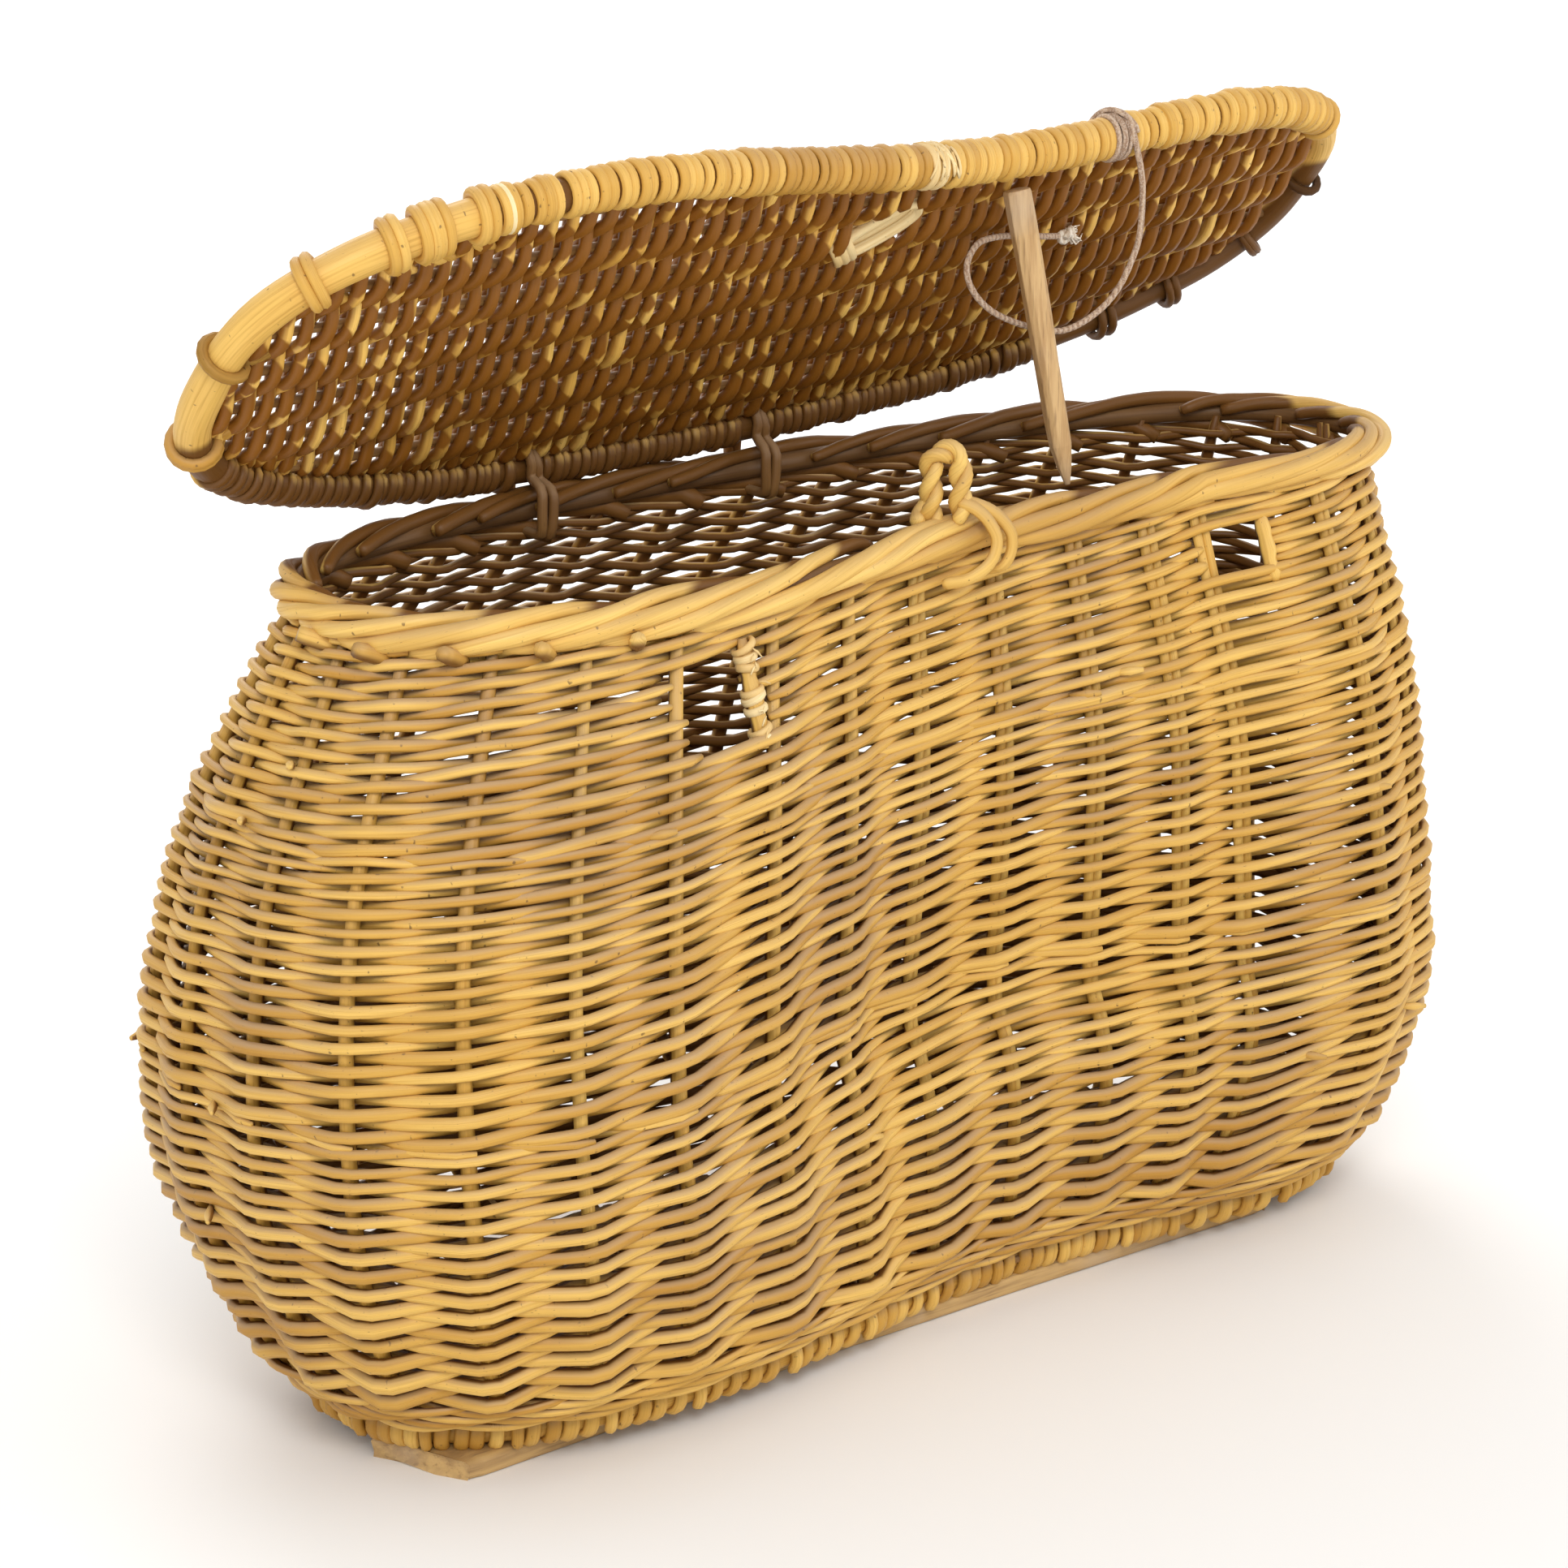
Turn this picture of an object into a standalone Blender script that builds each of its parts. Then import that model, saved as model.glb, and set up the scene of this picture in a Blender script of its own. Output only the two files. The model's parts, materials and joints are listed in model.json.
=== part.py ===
"""Wicker laundry hamper with a hinged wicker lid held open by a wooden peg.

The basket is kidney shaped in plan: its front middle is pushed in and its
sides belly out. +Z is up, -Y is the pushed-in front and X is the long axis.
The wall is a cage of upright stakes with five woven bands on it, between a
bent base hoop and a plaited border. The lid turns on two willow loops round
the back border. Sizes are in metres.
"""
import math

import bmesh
import bpy
import numpy as np
from mathutils import Matrix, Vector

# --- overall frame -------------------------------------------------------
FRAME_SHIFT = Vector((0.0194, -0.0296, 0.0))   # centres the standing box on the origin
GAP = 0.0003                                   # play between touching pieces
RUNNER_THICK = 0.010
BASE_Z = RUNNER_THICK + GAP                    # underside of the base hoop

# --- basket body: half sizes of the plan outline at five heights ----------
RIM_Z = 0.3658                                 # where the wall's outline ends, above the base hoop's underside
LEVELS = (0.0, 0.10, 0.35, 0.62, 1.0)          # as parts of RIM_Z
HALF_LONG = (0.2700, 0.2945, 0.3134, 0.3077, 0.2720)
HALF_DEEP = (0.0976, 0.1347, 0.1778, 0.1586, 0.0863)
DENT_LEVELS = (0.0, 0.4, 1.0)
DENT = (0.0504, 0.1096, 0.0472)                # how far the front middle is pushed in
DENT_X = 0.0267
DENT_WIDTH = 0.593                             # as a part of the half length
SQUARENESS = 2.59                              # exponent of the plan's superellipse
BELLY_SHIFT = -0.0208                          # the belly hangs out to the left
BASE_SHIFT = (-0.0014, 0.0128)                 # the base is set back from the rim

# --- wall ----------------------------------------------------------------
STAKES = 32
STAKE_R = 0.0026
STAKE_REF_Z = 0.22
STAKE_FRONT_X = (-0.281, -0.238, -0.181, -0.129, -0.075, -0.028, 0.020, 0.066, 0.106, 0.149, 0.212)
STAKE_INSET = 0.0046
STAKE_FOOT = 0.0135
NOTCH_Z = 0.3450                               # middle of the wall's notches for the hinge loops
WALL_OUT = 0.0035                              # woven wall outside the outline
WALL_IN = 0.0010                               # and inside it
WALL_ROWS = (0.0, 0.028, 0.062, 0.105, 0.158, 0.215, 0.27, 0.315, 0.350)
RING = 64
BANDS = (                                      # woven bands, from the foot up
    ("bottom_wale", 0.0126, 0.028),
    ("lower_siding", 0.028, 0.158),
    ("middle_siding", 0.158, 0.272),
    ("upper_siding", 0.272, 0.3340),
    ("top_wale", 0.3340, 0.3470),
)
HAND_HOLES = (                                 # x, foot, head, width
    ("left", -0.1430, 0.297, 0.3336, 0.040),
    ("right", 0.1545, 0.313, 0.3336, 0.031),
)

# --- border --------------------------------------------------------------
BORDER_TOP = RIM_Z - 0.0040
BORDER_TALL = 0.0145
BORDER_WIDE = 0.0205
BORDER_OUT = 0.0026                            # its middle line outside the wall outline
BORDER_SOFT = 0.0055

# --- base ----------------------------------------------------------------
BASE_HOOP_R = 0.006
BASE_PANEL = (0.0030, 0.0085)
BASE_RIBS = (0.005, 0.060)
RIB_R = 0.0020
RUNNER_DEEP = 0.048
RUNNERS = (                                    # x, y, length, turn
    ("front", -0.0285, -0.0238, 0.467, math.radians(1.3)),
    ("rear", 0.0, 0.070, 0.430, 0.0),
)
RUNNER_SOFT = 0.0022

# --- lid, drawn closed and then turned open --------------------------------
LID_OPEN = math.radians(46.5)
LID_TURN = math.radians(2.6)                   # hinge line skewed to the long axis
LID_Z = BORDER_TOP + 0.0100                    # middle plane of the closed lid
HINGE_POINT = Vector((-0.060, 0.0925, LID_Z))
LID_CENTRE = (-0.0170, -0.0108)
LID_HALF_LONG = 0.2930
LID_HALF_DEEP = 0.1046
LID_SQUARENESS = 2.75
LID_DENT = 0.0374
LID_DENT_X = 0.0800
LID_DENT_WIDTH = 0.59
LID_BACK_TAPER = 0.15                          # the back edge draws in toward the right end
LID_BOW = 0.0040                               # the ends spring up a little
LID_HOOP_R = 0.0070
LID_PANEL_THICK = 0.0060
LID_RIBS = (-0.066, -0.016, 0.030, 0.076)

# --- closure: loop on the border, slot in the lid, wooden peg ---------------
LOOP_AT = Vector((0.0030, -0.0430, BORDER_TOP))
LOOP_DIR = Vector((-0.79, 0.61, 0.0)).normalized()
LOOP_HALF = 0.0075
LOOP_R = 0.0030
LOOP_TALL = 0.0330
LOOP_DEEP = 0.0120
SLOT_AT = Vector((0.0030, -0.0455, LID_Z))
SLOT_LONG = 0.036
SLOT_WIDE = 0.014
PEG_FOOT = Vector((0.0803, -0.0343, BORDER_TOP - 0.0055))  # lodged at the border's inner edge
PEG_HEAD = Vector((0.0645, -0.0645, LID_Z - 0.0080))   # on the closed lid's underside
PEG_R = 0.0048

# --- hinge loops and twine -------------------------------------------------
HINGE_X = (-0.1220, 0.0010)
HINGE_LOOP_R = 0.0024
TWINE_R = 0.0014
TWINE_WRAP_X = 0.1170
TWINE_WRAP_LONG = 0.0062
KNOT_AT = Vector((0.1190, -0.0220, LID_Z))     # on the closed lid's underside
KNOT_R = 0.0050
TWINE = (                                      # route under the open lid, hoop to knot
    (0.1206, -0.0330, 0.4915), (0.1206, -0.0348, 0.4830), (0.1214, -0.0340, 0.4725),
    (0.1216, -0.0325, 0.4600), (0.1199, -0.0305, 0.4507), (0.1153, -0.0285, 0.4397),
    (0.1092, -0.0260, 0.4311), (0.1003, -0.0235, 0.4247), (0.0918, -0.0210, 0.4211),
    (0.0851, -0.0185, 0.4205), (0.0729, -0.0155, 0.4236), (0.0630, -0.0130, 0.4276),
    (0.0560, -0.0110, 0.4317), (0.0503, -0.0090, 0.4373), (0.0470, -0.0075, 0.4434),
    (0.0464, -0.0060, 0.4488), (0.0486, -0.0045, 0.4540), (0.0552, -0.0030, 0.4597),
    (0.0656, -0.0012, 0.4609), (0.0773, 0.0003, 0.4603), (0.0884, 0.0020, 0.4588),
    (0.0988, 0.0042, 0.4572), (0.1100, 0.0075, 0.4557),
)

WILLOW = (0.62, 0.42, 0.16, 1.0)
WILLOW_PALE = (0.72, 0.54, 0.27, 1.0)
WILLOW_DARK = (0.42, 0.26, 0.10, 1.0)
WOOD = (0.55, 0.38, 0.20, 1.0)
CORD = (0.52, 0.42, 0.33, 1.0)


# --- scene helpers ---------------------------------------------------------
def clear_scene():
    for old in list(bpy.data.objects):
        bpy.data.objects.remove(old)


def collection(name):
    made = bpy.data.collections.new(name)
    bpy.context.scene.collection.children.link(made)
    return made


def material(name, colour, rough):
    mat = bpy.data.materials.new(name)
    mat.use_nodes = True
    shader = mat.node_tree.nodes["Principled BSDF"]
    shader.inputs["Base Color"].default_value = colour
    shader.inputs["Roughness"].default_value = rough
    return mat


def add_object(name, mesh, colour, rough=0.6):
    made = bpy.data.objects.new(name, mesh)
    PARTS.objects.link(made)
    made.data.materials.clear()
    made.data.materials.append(material(name, colour, rough))
    return made


def sheet_from(name, verts, faces):
    """An open sheet; its faces already look outwards."""
    mesh = bpy.data.meshes.new(name)
    mesh.from_pydata([tuple(v) for v in verts], [], faces)
    return mesh


def mesh_from(name, verts, faces):
    mesh = sheet_from(name, verts, faces)
    work = bmesh.new()
    work.from_mesh(mesh)
    bmesh.ops.recalc_face_normals(work, faces=work.faces)
    work.to_mesh(mesh)
    work.free()
    return mesh


def tube_mesh(name, points, radius, cyclic=False, scales=None, sides=2):
    """A round rod along the points, as a closed mesh."""
    curve = bpy.data.curves.new(name, "CURVE")
    curve.dimensions = "3D"
    curve.bevel_depth = radius
    curve.bevel_resolution = sides
    curve.use_fill_caps = True
    spline = curve.splines.new("POLY")
    spline.points.add(len(points) - 1)
    for i, point in enumerate(points):
        spline.points[i].co = (*point, 1.0)
        spline.points[i].radius = scales[i] if scales else 1.0
    spline.use_cyclic_u = cyclic
    rod = bpy.data.objects.new(name + "_rod", curve)
    bpy.context.scene.collection.objects.link(rod)
    bpy.context.view_layer.update()
    mesh = bpy.data.meshes.new_from_object(rod.evaluated_get(bpy.context.evaluated_depsgraph_get()))
    bpy.data.objects.remove(rod)
    work = bmesh.new()
    work.from_mesh(mesh)
    bmesh.ops.remove_doubles(work, verts=work.verts, dist=0.00001)
    bmesh.ops.recalc_face_normals(work, faces=work.faces)
    work.to_mesh(mesh)
    work.free()
    mesh.name = name
    return mesh


def box_mesh(name, centre, size, turn=0.0):
    work = bmesh.new()
    bmesh.ops.create_cube(work, size=1.0)
    place = Matrix.Translation(centre) @ Matrix.Rotation(turn, 4, "Z") @ Matrix.Diagonal((*size, 1.0))
    bmesh.ops.transform(work, matrix=place, verts=work.verts)
    mesh = bpy.data.meshes.new(name)
    work.to_mesh(mesh)
    work.free()
    return mesh


def cutter(name, mesh):
    made = bpy.data.objects.new(name, mesh)
    CUTTERS.objects.link(made)
    made.hide_render = True
    made.display_type = "WIRE"
    return made


def boolean(target, tool, operation="DIFFERENCE"):
    mod = target.modifiers.new(tool.name, "BOOLEAN")
    mod.operation = operation
    mod.object = tool
    mod.solver = "EXACT"


# --- plan outlines -----------------------------------------------------------
def gentle_slopes(x, y):
    """Slopes at each level that never overshoot the values between them."""
    step = np.diff(x)
    rise = np.diff(y) / step
    slope = np.concatenate([[rise[0]], np.zeros(len(x) - 2), [rise[-1]]])
    for i in range(1, len(x) - 1):
        if rise[i - 1] * rise[i] > 0:
            before, after = 2 * step[i] + step[i - 1], step[i] + 2 * step[i - 1]
            slope[i] = (before + after) / (before / rise[i - 1] + after / rise[i])
    return slope


def hermite(levels, values, at):
    """Smooth curve through values given at uneven levels."""
    x, y = np.array(levels), np.array(values)
    slope = gentle_slopes(x, y)
    i = int(np.clip(np.searchsorted(x, at, side="right") - 1, 0, len(x) - 2))
    step = x[i + 1] - x[i]
    t = (np.clip(at, x[0], x[-1]) - x[i]) / step
    return ((2 * t**3 - 3 * t**2 + 1) * y[i] + (t**3 - 2 * t**2 + t) * step * slope[i]
            + (3 * t**2 - 2 * t**3) * y[i + 1] + (t**3 - t**2) * step * slope[i + 1])


def superellipse(angle, long, deep, power):
    c, s = np.cos(angle), np.sin(angle)
    return long * np.sign(c) * abs(c) ** (2 / power), deep * np.sign(s) * abs(s) ** (2 / power)


def push_in(x, y, deep, dent, dent_x, width):
    """Pushes the front half in, most at its middle."""
    return np.where(y < 0, y + dent * abs(y) / deep * np.exp(-((x - dent_x) / width) ** 2), y)


def wall_point(angle, z):
    """A point of the wall's outline at an angle of the plan curve and a height."""
    part = z / RIM_Z
    long = hermite(LEVELS, HALF_LONG, part)
    deep = hermite(LEVELS, HALF_DEEP, part)
    dent = np.interp(part, DENT_LEVELS, DENT)
    x, y = superellipse(angle, long, deep, SQUARENESS)
    y = push_in(x, y, deep, dent, DENT_X, DENT_WIDTH * long)
    x = x + BASE_SHIFT[0] * (1 - part) + BELLY_SHIFT * math.sin(math.pi * part)
    return np.array([x, y + BASE_SHIFT[1] * (1 - part), z])


def wall_normal(angle, z):
    """The wall's outward direction."""
    small = 0.01
    along = wall_point(angle + small, z) - wall_point(angle - small, z)
    up = wall_point(angle, min(z + 0.004, RIM_Z)) - wall_point(angle, max(z - 0.004, 0.0))
    out = np.cross(along, up)
    return out / np.linalg.norm(out)


def even_angles(count, z, phase):
    """Angles of points spaced evenly along the outline at a height."""
    fine = np.linspace(0, 2 * math.pi, 1441)
    line = np.array([wall_point(a, z) for a in fine])
    run = np.concatenate([[0], np.cumsum(np.linalg.norm(np.diff(line, axis=0), axis=1))])
    return np.interp((np.arange(count) + phase) * run[-1] / count % run[-1], run, fine)


def offset_ring(angles, z, out):
    """The outline at a height, moved outwards in its own plane."""
    ring = []
    for a in angles:
        n = wall_normal(a, z)
        flat = np.array([n[0], n[1], 0.0])
        ring.append(wall_point(a, z) + out * flat / np.linalg.norm(flat))
    return ring


def lid_outline(count, inset):
    """The closed lid's outline, moved inwards, with its ends sprung up."""
    fine = np.linspace(0, 2 * math.pi, 1441)[:-1]
    x, y = superellipse(fine, LID_HALF_LONG, LID_HALF_DEEP, LID_SQUARENESS)
    y = push_in(x, y, LID_HALF_DEEP, LID_DENT, LID_DENT_X, LID_DENT_WIDTH * LID_HALF_LONG)
    y = np.where(y > 0, y * (1 - LID_BACK_TAPER * np.maximum(x / LID_HALF_LONG, 0) ** 2), y)
    dx, dy = np.roll(x, -1) - np.roll(x, 1), np.roll(y, -1) - np.roll(y, 1)
    size = np.hypot(dx, dy)
    x, y = x - inset * dy / size, y + inset * dx / size
    closed_x, closed_y = np.append(x, x[0]), np.append(y, y[0])
    run = np.concatenate([[0], np.cumsum(np.hypot(np.diff(closed_x), np.diff(closed_y)))])
    at = np.arange(count) * run[-1] / count
    px, py = np.interp(at, run, closed_x), np.interp(at, run, closed_y)
    pz = LID_Z + LID_BOW * (px / LID_HALF_LONG) ** 2
    return [np.array([a + LID_CENTRE[0], b + LID_CENTRE[1], c]) for a, b, c in zip(px, py, pz)]


def lid_half_length(y, inset):
    """Where a lengthwise rod of the lid at y meets the inset outline: its two x ends."""
    ring = np.array(lid_outline(360, inset))
    left = ring[ring[:, 0] < -0.15]
    right = ring[ring[:, 0] > 0.12]
    ends = []
    for side, sign in ((left, 1), (right, -1)):
        near = side[np.abs(side[:, 1] - y).argsort()[:2]]
        ends.append(sign * max(sign * near[:, 0]))
    return ends


# --- basket --------------------------------------------------------------------
def wall_sheet(name):
    """The whole wall as an open sheet of one ring of points at each row."""
    angles = even_angles(RING, STAKE_REF_Z, 0.0)
    verts = [wall_point(a, z) for z in WALL_ROWS for a in angles]
    faces = []
    for row in range(len(WALL_ROWS) - 1):
        for i in range(RING):
            a, b = row * RING + i, row * RING + (i + 1) % RING
            faces.append((a, b, b + RING, a + RING))
    return sheet_from(name, verts, faces)


def make_band(name, foot, head, colour):
    """One woven band: the wall sheet made thick and cut off level at foot and head."""
    band = add_object(name, wall_sheet(name), colour)
    thick = band.modifiers.new("thick", "SOLIDIFY")
    thick.thickness = WALL_OUT + WALL_IN
    thick.offset = (WALL_OUT - WALL_IN) / (WALL_OUT + WALL_IN)
    slab_size = (0.9, 0.6, head - foot - GAP)
    slab = cutter(name + "_slab", box_mesh(name + "_slab", (0, 0, (foot + head - GAP) / 2), slab_size))
    boolean(band, slab, "INTERSECT")
    return band


def front_angle(x, z):
    """The angle of the front wall point at x."""
    fine = np.linspace(math.radians(200), math.radians(340), 1400)
    return fine[np.argmin([abs(wall_point(a, z)[0] - x) for a in fine])]


def back_angle(x, z):
    fine = np.linspace(math.radians(20), math.radians(160), 1400)
    return fine[np.argmin([abs(wall_point(a, z)[0] - x) for a in fine])]


def hand_hole_cutter(name, x, foot, head, width):
    middle = (foot + head) / 2
    angle = front_angle(x, middle)
    out = wall_normal(angle, middle)
    centre = Vector(wall_point(angle, middle))
    turn = math.atan2(out[1], out[0])
    return cutter(name, box_mesh(name, centre, (0.040, width, head - foot), turn))


def make_wall():
    bands = {name: make_band(name, foot, head, WILLOW) for name, foot, head in BANDS}
    for side, x, foot, head, width in HAND_HOLES:
        boolean(bands["upper_siding"], hand_hole_cutter("hand_hole_" + side, x, foot, head, width))
    for i, x in enumerate(HINGE_X):
        centre = Vector(wall_point(back_angle(x, NOTCH_Z), NOTCH_Z))
        boolean(bands["top_wale"], cutter(f"hinge_notch_{i}", box_mesh("notch", centre, (0.009, 0.03, 0.012))))
    return bands


def stake_angles():
    """The front stakes stand at measured places; the rest share the way round the back."""
    front = [front_angle(x, STAKE_REF_Z) for x in STAKE_FRONT_X]
    fine = np.linspace(front[-1], front[0] + 2 * math.pi, 1441)
    line = np.array([wall_point(a, STAKE_REF_Z) for a in fine])
    run = np.concatenate([[0], np.cumsum(np.linalg.norm(np.diff(line, axis=0), axis=1))])
    spaces = STAKES - len(front) + 1
    rest = np.interp(np.arange(1, spaces) * run[-1] / spaces, run, fine)
    return [beside_holes(a) for a in front] + [beside_hinges(a) for a in rest]


def beside_holes(angle):
    """Pushes a stake that would cross a hand hole to the hole's nearer side."""
    for side, x, foot, head, width in HAND_HOLES:
        middle = (foot + head) / 2
        off = wall_point(angle, middle)[0] - x
        room = width / 2 + STAKE_R + 0.001
        if abs(off) < room:
            return front_angle(x + math.copysign(room, off), middle)
    return angle


def beside_hinges(angle):
    """Pushes a back stake that would run into a hinge loop to the loop's nearer side."""
    at = wall_point(angle, NOTCH_Z)
    room = HINGE_LOOP_R + STAKE_R + 0.0015
    for x in HINGE_X:
        off = at[0] - x
        if at[1] > 0 and abs(off) < room:
            return back_angle(x + math.copysign(room, off), NOTCH_Z)
    return angle


def make_stakes():
    angles = stake_angles()
    rows = (STAKE_FOOT,) + WALL_ROWS[1:-1] + (BORDER_TOP - BORDER_TALL - GAP,)
    for i, angle in enumerate(angles):
        points = [wall_point(angle, z) - STAKE_INSET * wall_normal(angle, z) for z in rows]
        name = f"stake_{i + 1:02d}"
        add_object(name, tube_mesh(name, points, STAKE_R, sides=1), WILLOW_DARK)


def make_hand_posts():
    """The bound rod at the side of each hand hole."""
    for side, x, foot, head, width in HAND_HOLES:
        middle = (foot + head) / 2
        edge = width / 2 - 0.0031
        angle = front_angle(x, middle)
        out = wall_normal(angle, middle)
        along = Vector((-out[1], out[0], 0)).normalized()
        centre = Vector(wall_point(angle, middle)) + along * edge + Vector(out) * 0.0008
        lean = Vector(wall_point(angle, head)) - Vector(wall_point(angle, foot))
        lean -= along * lean.dot(along)
        lean = lean.normalized() * ((head - foot) / 2 - 0.0008)
        name = "hand_post_" + side
        add_object(name, tube_mesh(name, [centre - lean, centre, centre + lean], 0.0026), WILLOW_PALE)


def make_border():
    """The plaited border as one ring, drilled for the closure loop's legs."""
    angles = even_angles(RING, RIM_Z, 0.5)
    rows = (BORDER_TOP - BORDER_TALL, BORDER_TOP)
    middle = offset_ring(angles, BORDER_TOP, BORDER_OUT)
    verts = [np.array([p[0], p[1], z]) for z in rows for p in middle]
    faces = [(i, (i + 1) % RING, (i + 1) % RING + RING, i + RING) for i in range(RING)]
    border = add_object("border", sheet_from("border", verts, faces), WILLOW)
    thick = border.modifiers.new("thick", "SOLIDIFY")
    thick.thickness = BORDER_WIDE
    thick.offset = 0.0
    thick.use_even_offset = True
    soft = border.modifiers.new("soft", "BEVEL")
    soft.width = BORDER_SOFT
    soft.segments = 2
    soft.limit_method = "ANGLE"
    soft.angle_limit = math.radians(50)
    for i, foot in enumerate(loop_feet()):
        top = foot + Vector((0, 0, 0.01))
        low = foot - Vector((0, 0, LOOP_DEEP + GAP))
        hole = tube_mesh("leg_hole", [low, top], LOOP_R + GAP, sides=3)
        boolean(border, cutter(f"leg_hole_{i}", hole))


# --- base ------------------------------------------------------------------------
def base_ring(inset, count, z):
    angles = even_angles(count, 0.02, 0.0)
    return [np.array([p[0], p[1], z]) for p in offset_ring(angles, 0.001, -inset)]


def flat_panel_mesh(name, ring, low, high):
    """A flat woven panel: an outline between two heights."""
    count = len(ring)
    verts = [(p[0], p[1], z) for z in (low, high) for p in ring]
    faces = [tuple(range(count - 1, -1, -1)), tuple(range(count, 2 * count))]
    faces += [(i, (i + 1) % count, (i + 1) % count + count, i + count) for i in range(count)]
    return mesh_from(name, verts, faces)


def make_base():
    hoop = base_ring(0.003, RING, BASE_HOOP_R)
    add_object("base_hoop", tube_mesh("base_hoop", hoop, BASE_HOOP_R, cyclic=True), WILLOW)
    edge = base_ring(0.003 + BASE_HOOP_R + 0.0008, RING, 0)
    add_object("base_weave", flat_panel_mesh("base_weave", edge, *BASE_PANEL), WILLOW_DARK)
    ring = np.array(base_ring(0.022, 360, 0))
    for i, y in enumerate(BASE_RIBS):
        side = ring[np.abs(ring[:, 1] - y) < 0.004]
        left, right = side[:, 0].min(), side[:, 0].max()
        z = BASE_PANEL[1] + GAP + RIB_R
        name = f"base_rib_{i + 1}"
        add_object(name, tube_mesh(name, [(left, y, z), (right, y, z)], RIB_R, sides=1), WILLOW_DARK)
    for side, x, y, long, turn in RUNNERS:
        name = "runner_" + side
        centre = (x, y, -GAP - RUNNER_THICK / 2)
        runner = add_object(name, box_mesh(name, centre, (long, RUNNER_DEEP, RUNNER_THICK), turn), WOOD)
        soft = runner.modifiers.new("soft", "BEVEL")
        soft.width = RUNNER_SOFT
        soft.segments = 1


# --- lid ---------------------------------------------------------------------------
def oblong(centre, long, wide, z, points=6):
    """A round-ended slot outline along the closure loop's direction."""
    side = Vector((-LOOP_DIR.y, LOOP_DIR.x, 0))
    ring = []
    for end in (1, -1):
        mid = centre + LOOP_DIR * end * (long - wide) / 2
        for k in range(points + 1):
            a = math.pi * k / points
            ring.append(mid + (side * math.cos(a) + LOOP_DIR * math.sin(a)) * end * wide / 2)
    return [(p.x, p.y, z) for p in ring]


def lid_hoop_near(x, front):
    """The hoop's middle-line point nearest to x, and its direction there."""
    ring = np.array(lid_outline(720, 0.0))
    half = ring[ring[:, 1] < -0.03] if front else ring[ring[:, 1] > 0.03]
    half = half[half[:, 0].argsort()]
    i = int(np.abs(half[:, 0] - x).argmin())
    run = half[i + 4] - half[i - 4]
    return Vector(half[i]), Vector(run).normalized()


def make_lid():
    hoop = add_object("lid_hoop", tube_mesh("lid_hoop", lid_outline(RING, 0.0), LID_HOOP_R, cyclic=True), WILLOW)
    edge = lid_outline(RING, LID_HOOP_R + 0.0007)
    low, high = LID_Z - LID_PANEL_THICK / 2, LID_Z + LID_PANEL_THICK / 2
    panel = add_object("lid_weave", flat_panel_mesh("lid_weave", edge, low, high), WILLOW_DARK)
    slot = flat_panel_mesh("slot", oblong(SLOT_AT, SLOT_LONG, SLOT_WIDE, 0), LID_Z - 0.02, LID_Z + 0.02)
    tools = [cutter("lid_slot", slot)]
    for i, x in enumerate(HINGE_X):
        at, run = lid_hoop_near(x, False)
        notch = box_mesh("notch", at - Vector((0, 0.009, 0)), (0.0105, 0.018, 0.03))
        tools.append(cutter(f"lid_notch_{i}", notch))
    at, run = lid_hoop_near(TWINE_WRAP_X, True)
    turn = math.atan2(run.y, run.x)
    tools.append(cutter("wrap_notch", box_mesh("notch", at + Vector((0, 0.005, 0)), (0.009, 0.011, 0.03), turn)))
    for tool in tools:
        boolean(panel, tool)
    made = [hoop, panel] + tools
    for i, y in enumerate(LID_RIBS):
        left, right = lid_half_length(y, 0.024)
        z = high + GAP + RIB_R
        name = f"lid_rib_{i + 1}"
        made.append(add_object(name, tube_mesh(name, [(left, y, z), (right, y, z)], RIB_R, sides=1), WILLOW_DARK))
    ring = oblong(SLOT_AT, SLOT_LONG + 0.0032, SLOT_WIDE + 0.0032, low - GAP - 0.0015)
    made.append(add_object("slot_binding", tube_mesh("slot_binding", ring, 0.0015, cyclic=True, sides=1), WILLOW_PALE))
    made.append(make_twine_wrap())
    made.append(make_knot())
    return made


def make_twine_wrap():
    """Two turns of twine round the lid's front hoop, as one sleeve."""
    at, run = lid_hoop_near(TWINE_WRAP_X, True)
    inner = LID_HOOP_R + GAP + 0.0002
    outer = inner + 2 * TWINE_R - 0.0004
    side = Vector((0, 0, 1)).cross(run).normalized()
    verts, count = [], 16
    for radius, shift in ((inner, -1), (outer, -1), (outer, 1), (inner, 1)):
        for k in range(count):
            a = 2 * math.pi * k / count
            grow = radius / math.cos(math.pi / count)
            around = side * math.cos(a) * grow + Vector((0, 0, 1)) * math.sin(a) * grow
            verts.append(at + around + run * shift * TWINE_WRAP_LONG / 2)
    faces = []
    for band in range(4):
        for k in range(count):
            a, b = band * count + k, band * count + (k + 1) % count
            faces.append((a, b, (b + count) % (4 * count), (a + count) % (4 * count)))
    return add_object("twine_wrap", mesh_from("twine_wrap", verts, faces), CORD, 0.9)


def make_knot():
    """The frayed knot that stops the twine under the lid."""
    work = bmesh.new()
    bmesh.ops.create_icosphere(work, subdivisions=2, radius=KNOT_R)
    centre = KNOT_AT - Vector((0, 0, LID_PANEL_THICK / 2 + GAP + KNOT_R))
    bmesh.ops.transform(work, matrix=Matrix.Translation(centre), verts=work.verts)
    mesh = bpy.data.meshes.new("twine_knot")
    work.to_mesh(mesh)
    work.free()
    return add_object("twine_knot", mesh, WILLOW_PALE, 0.9)


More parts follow.
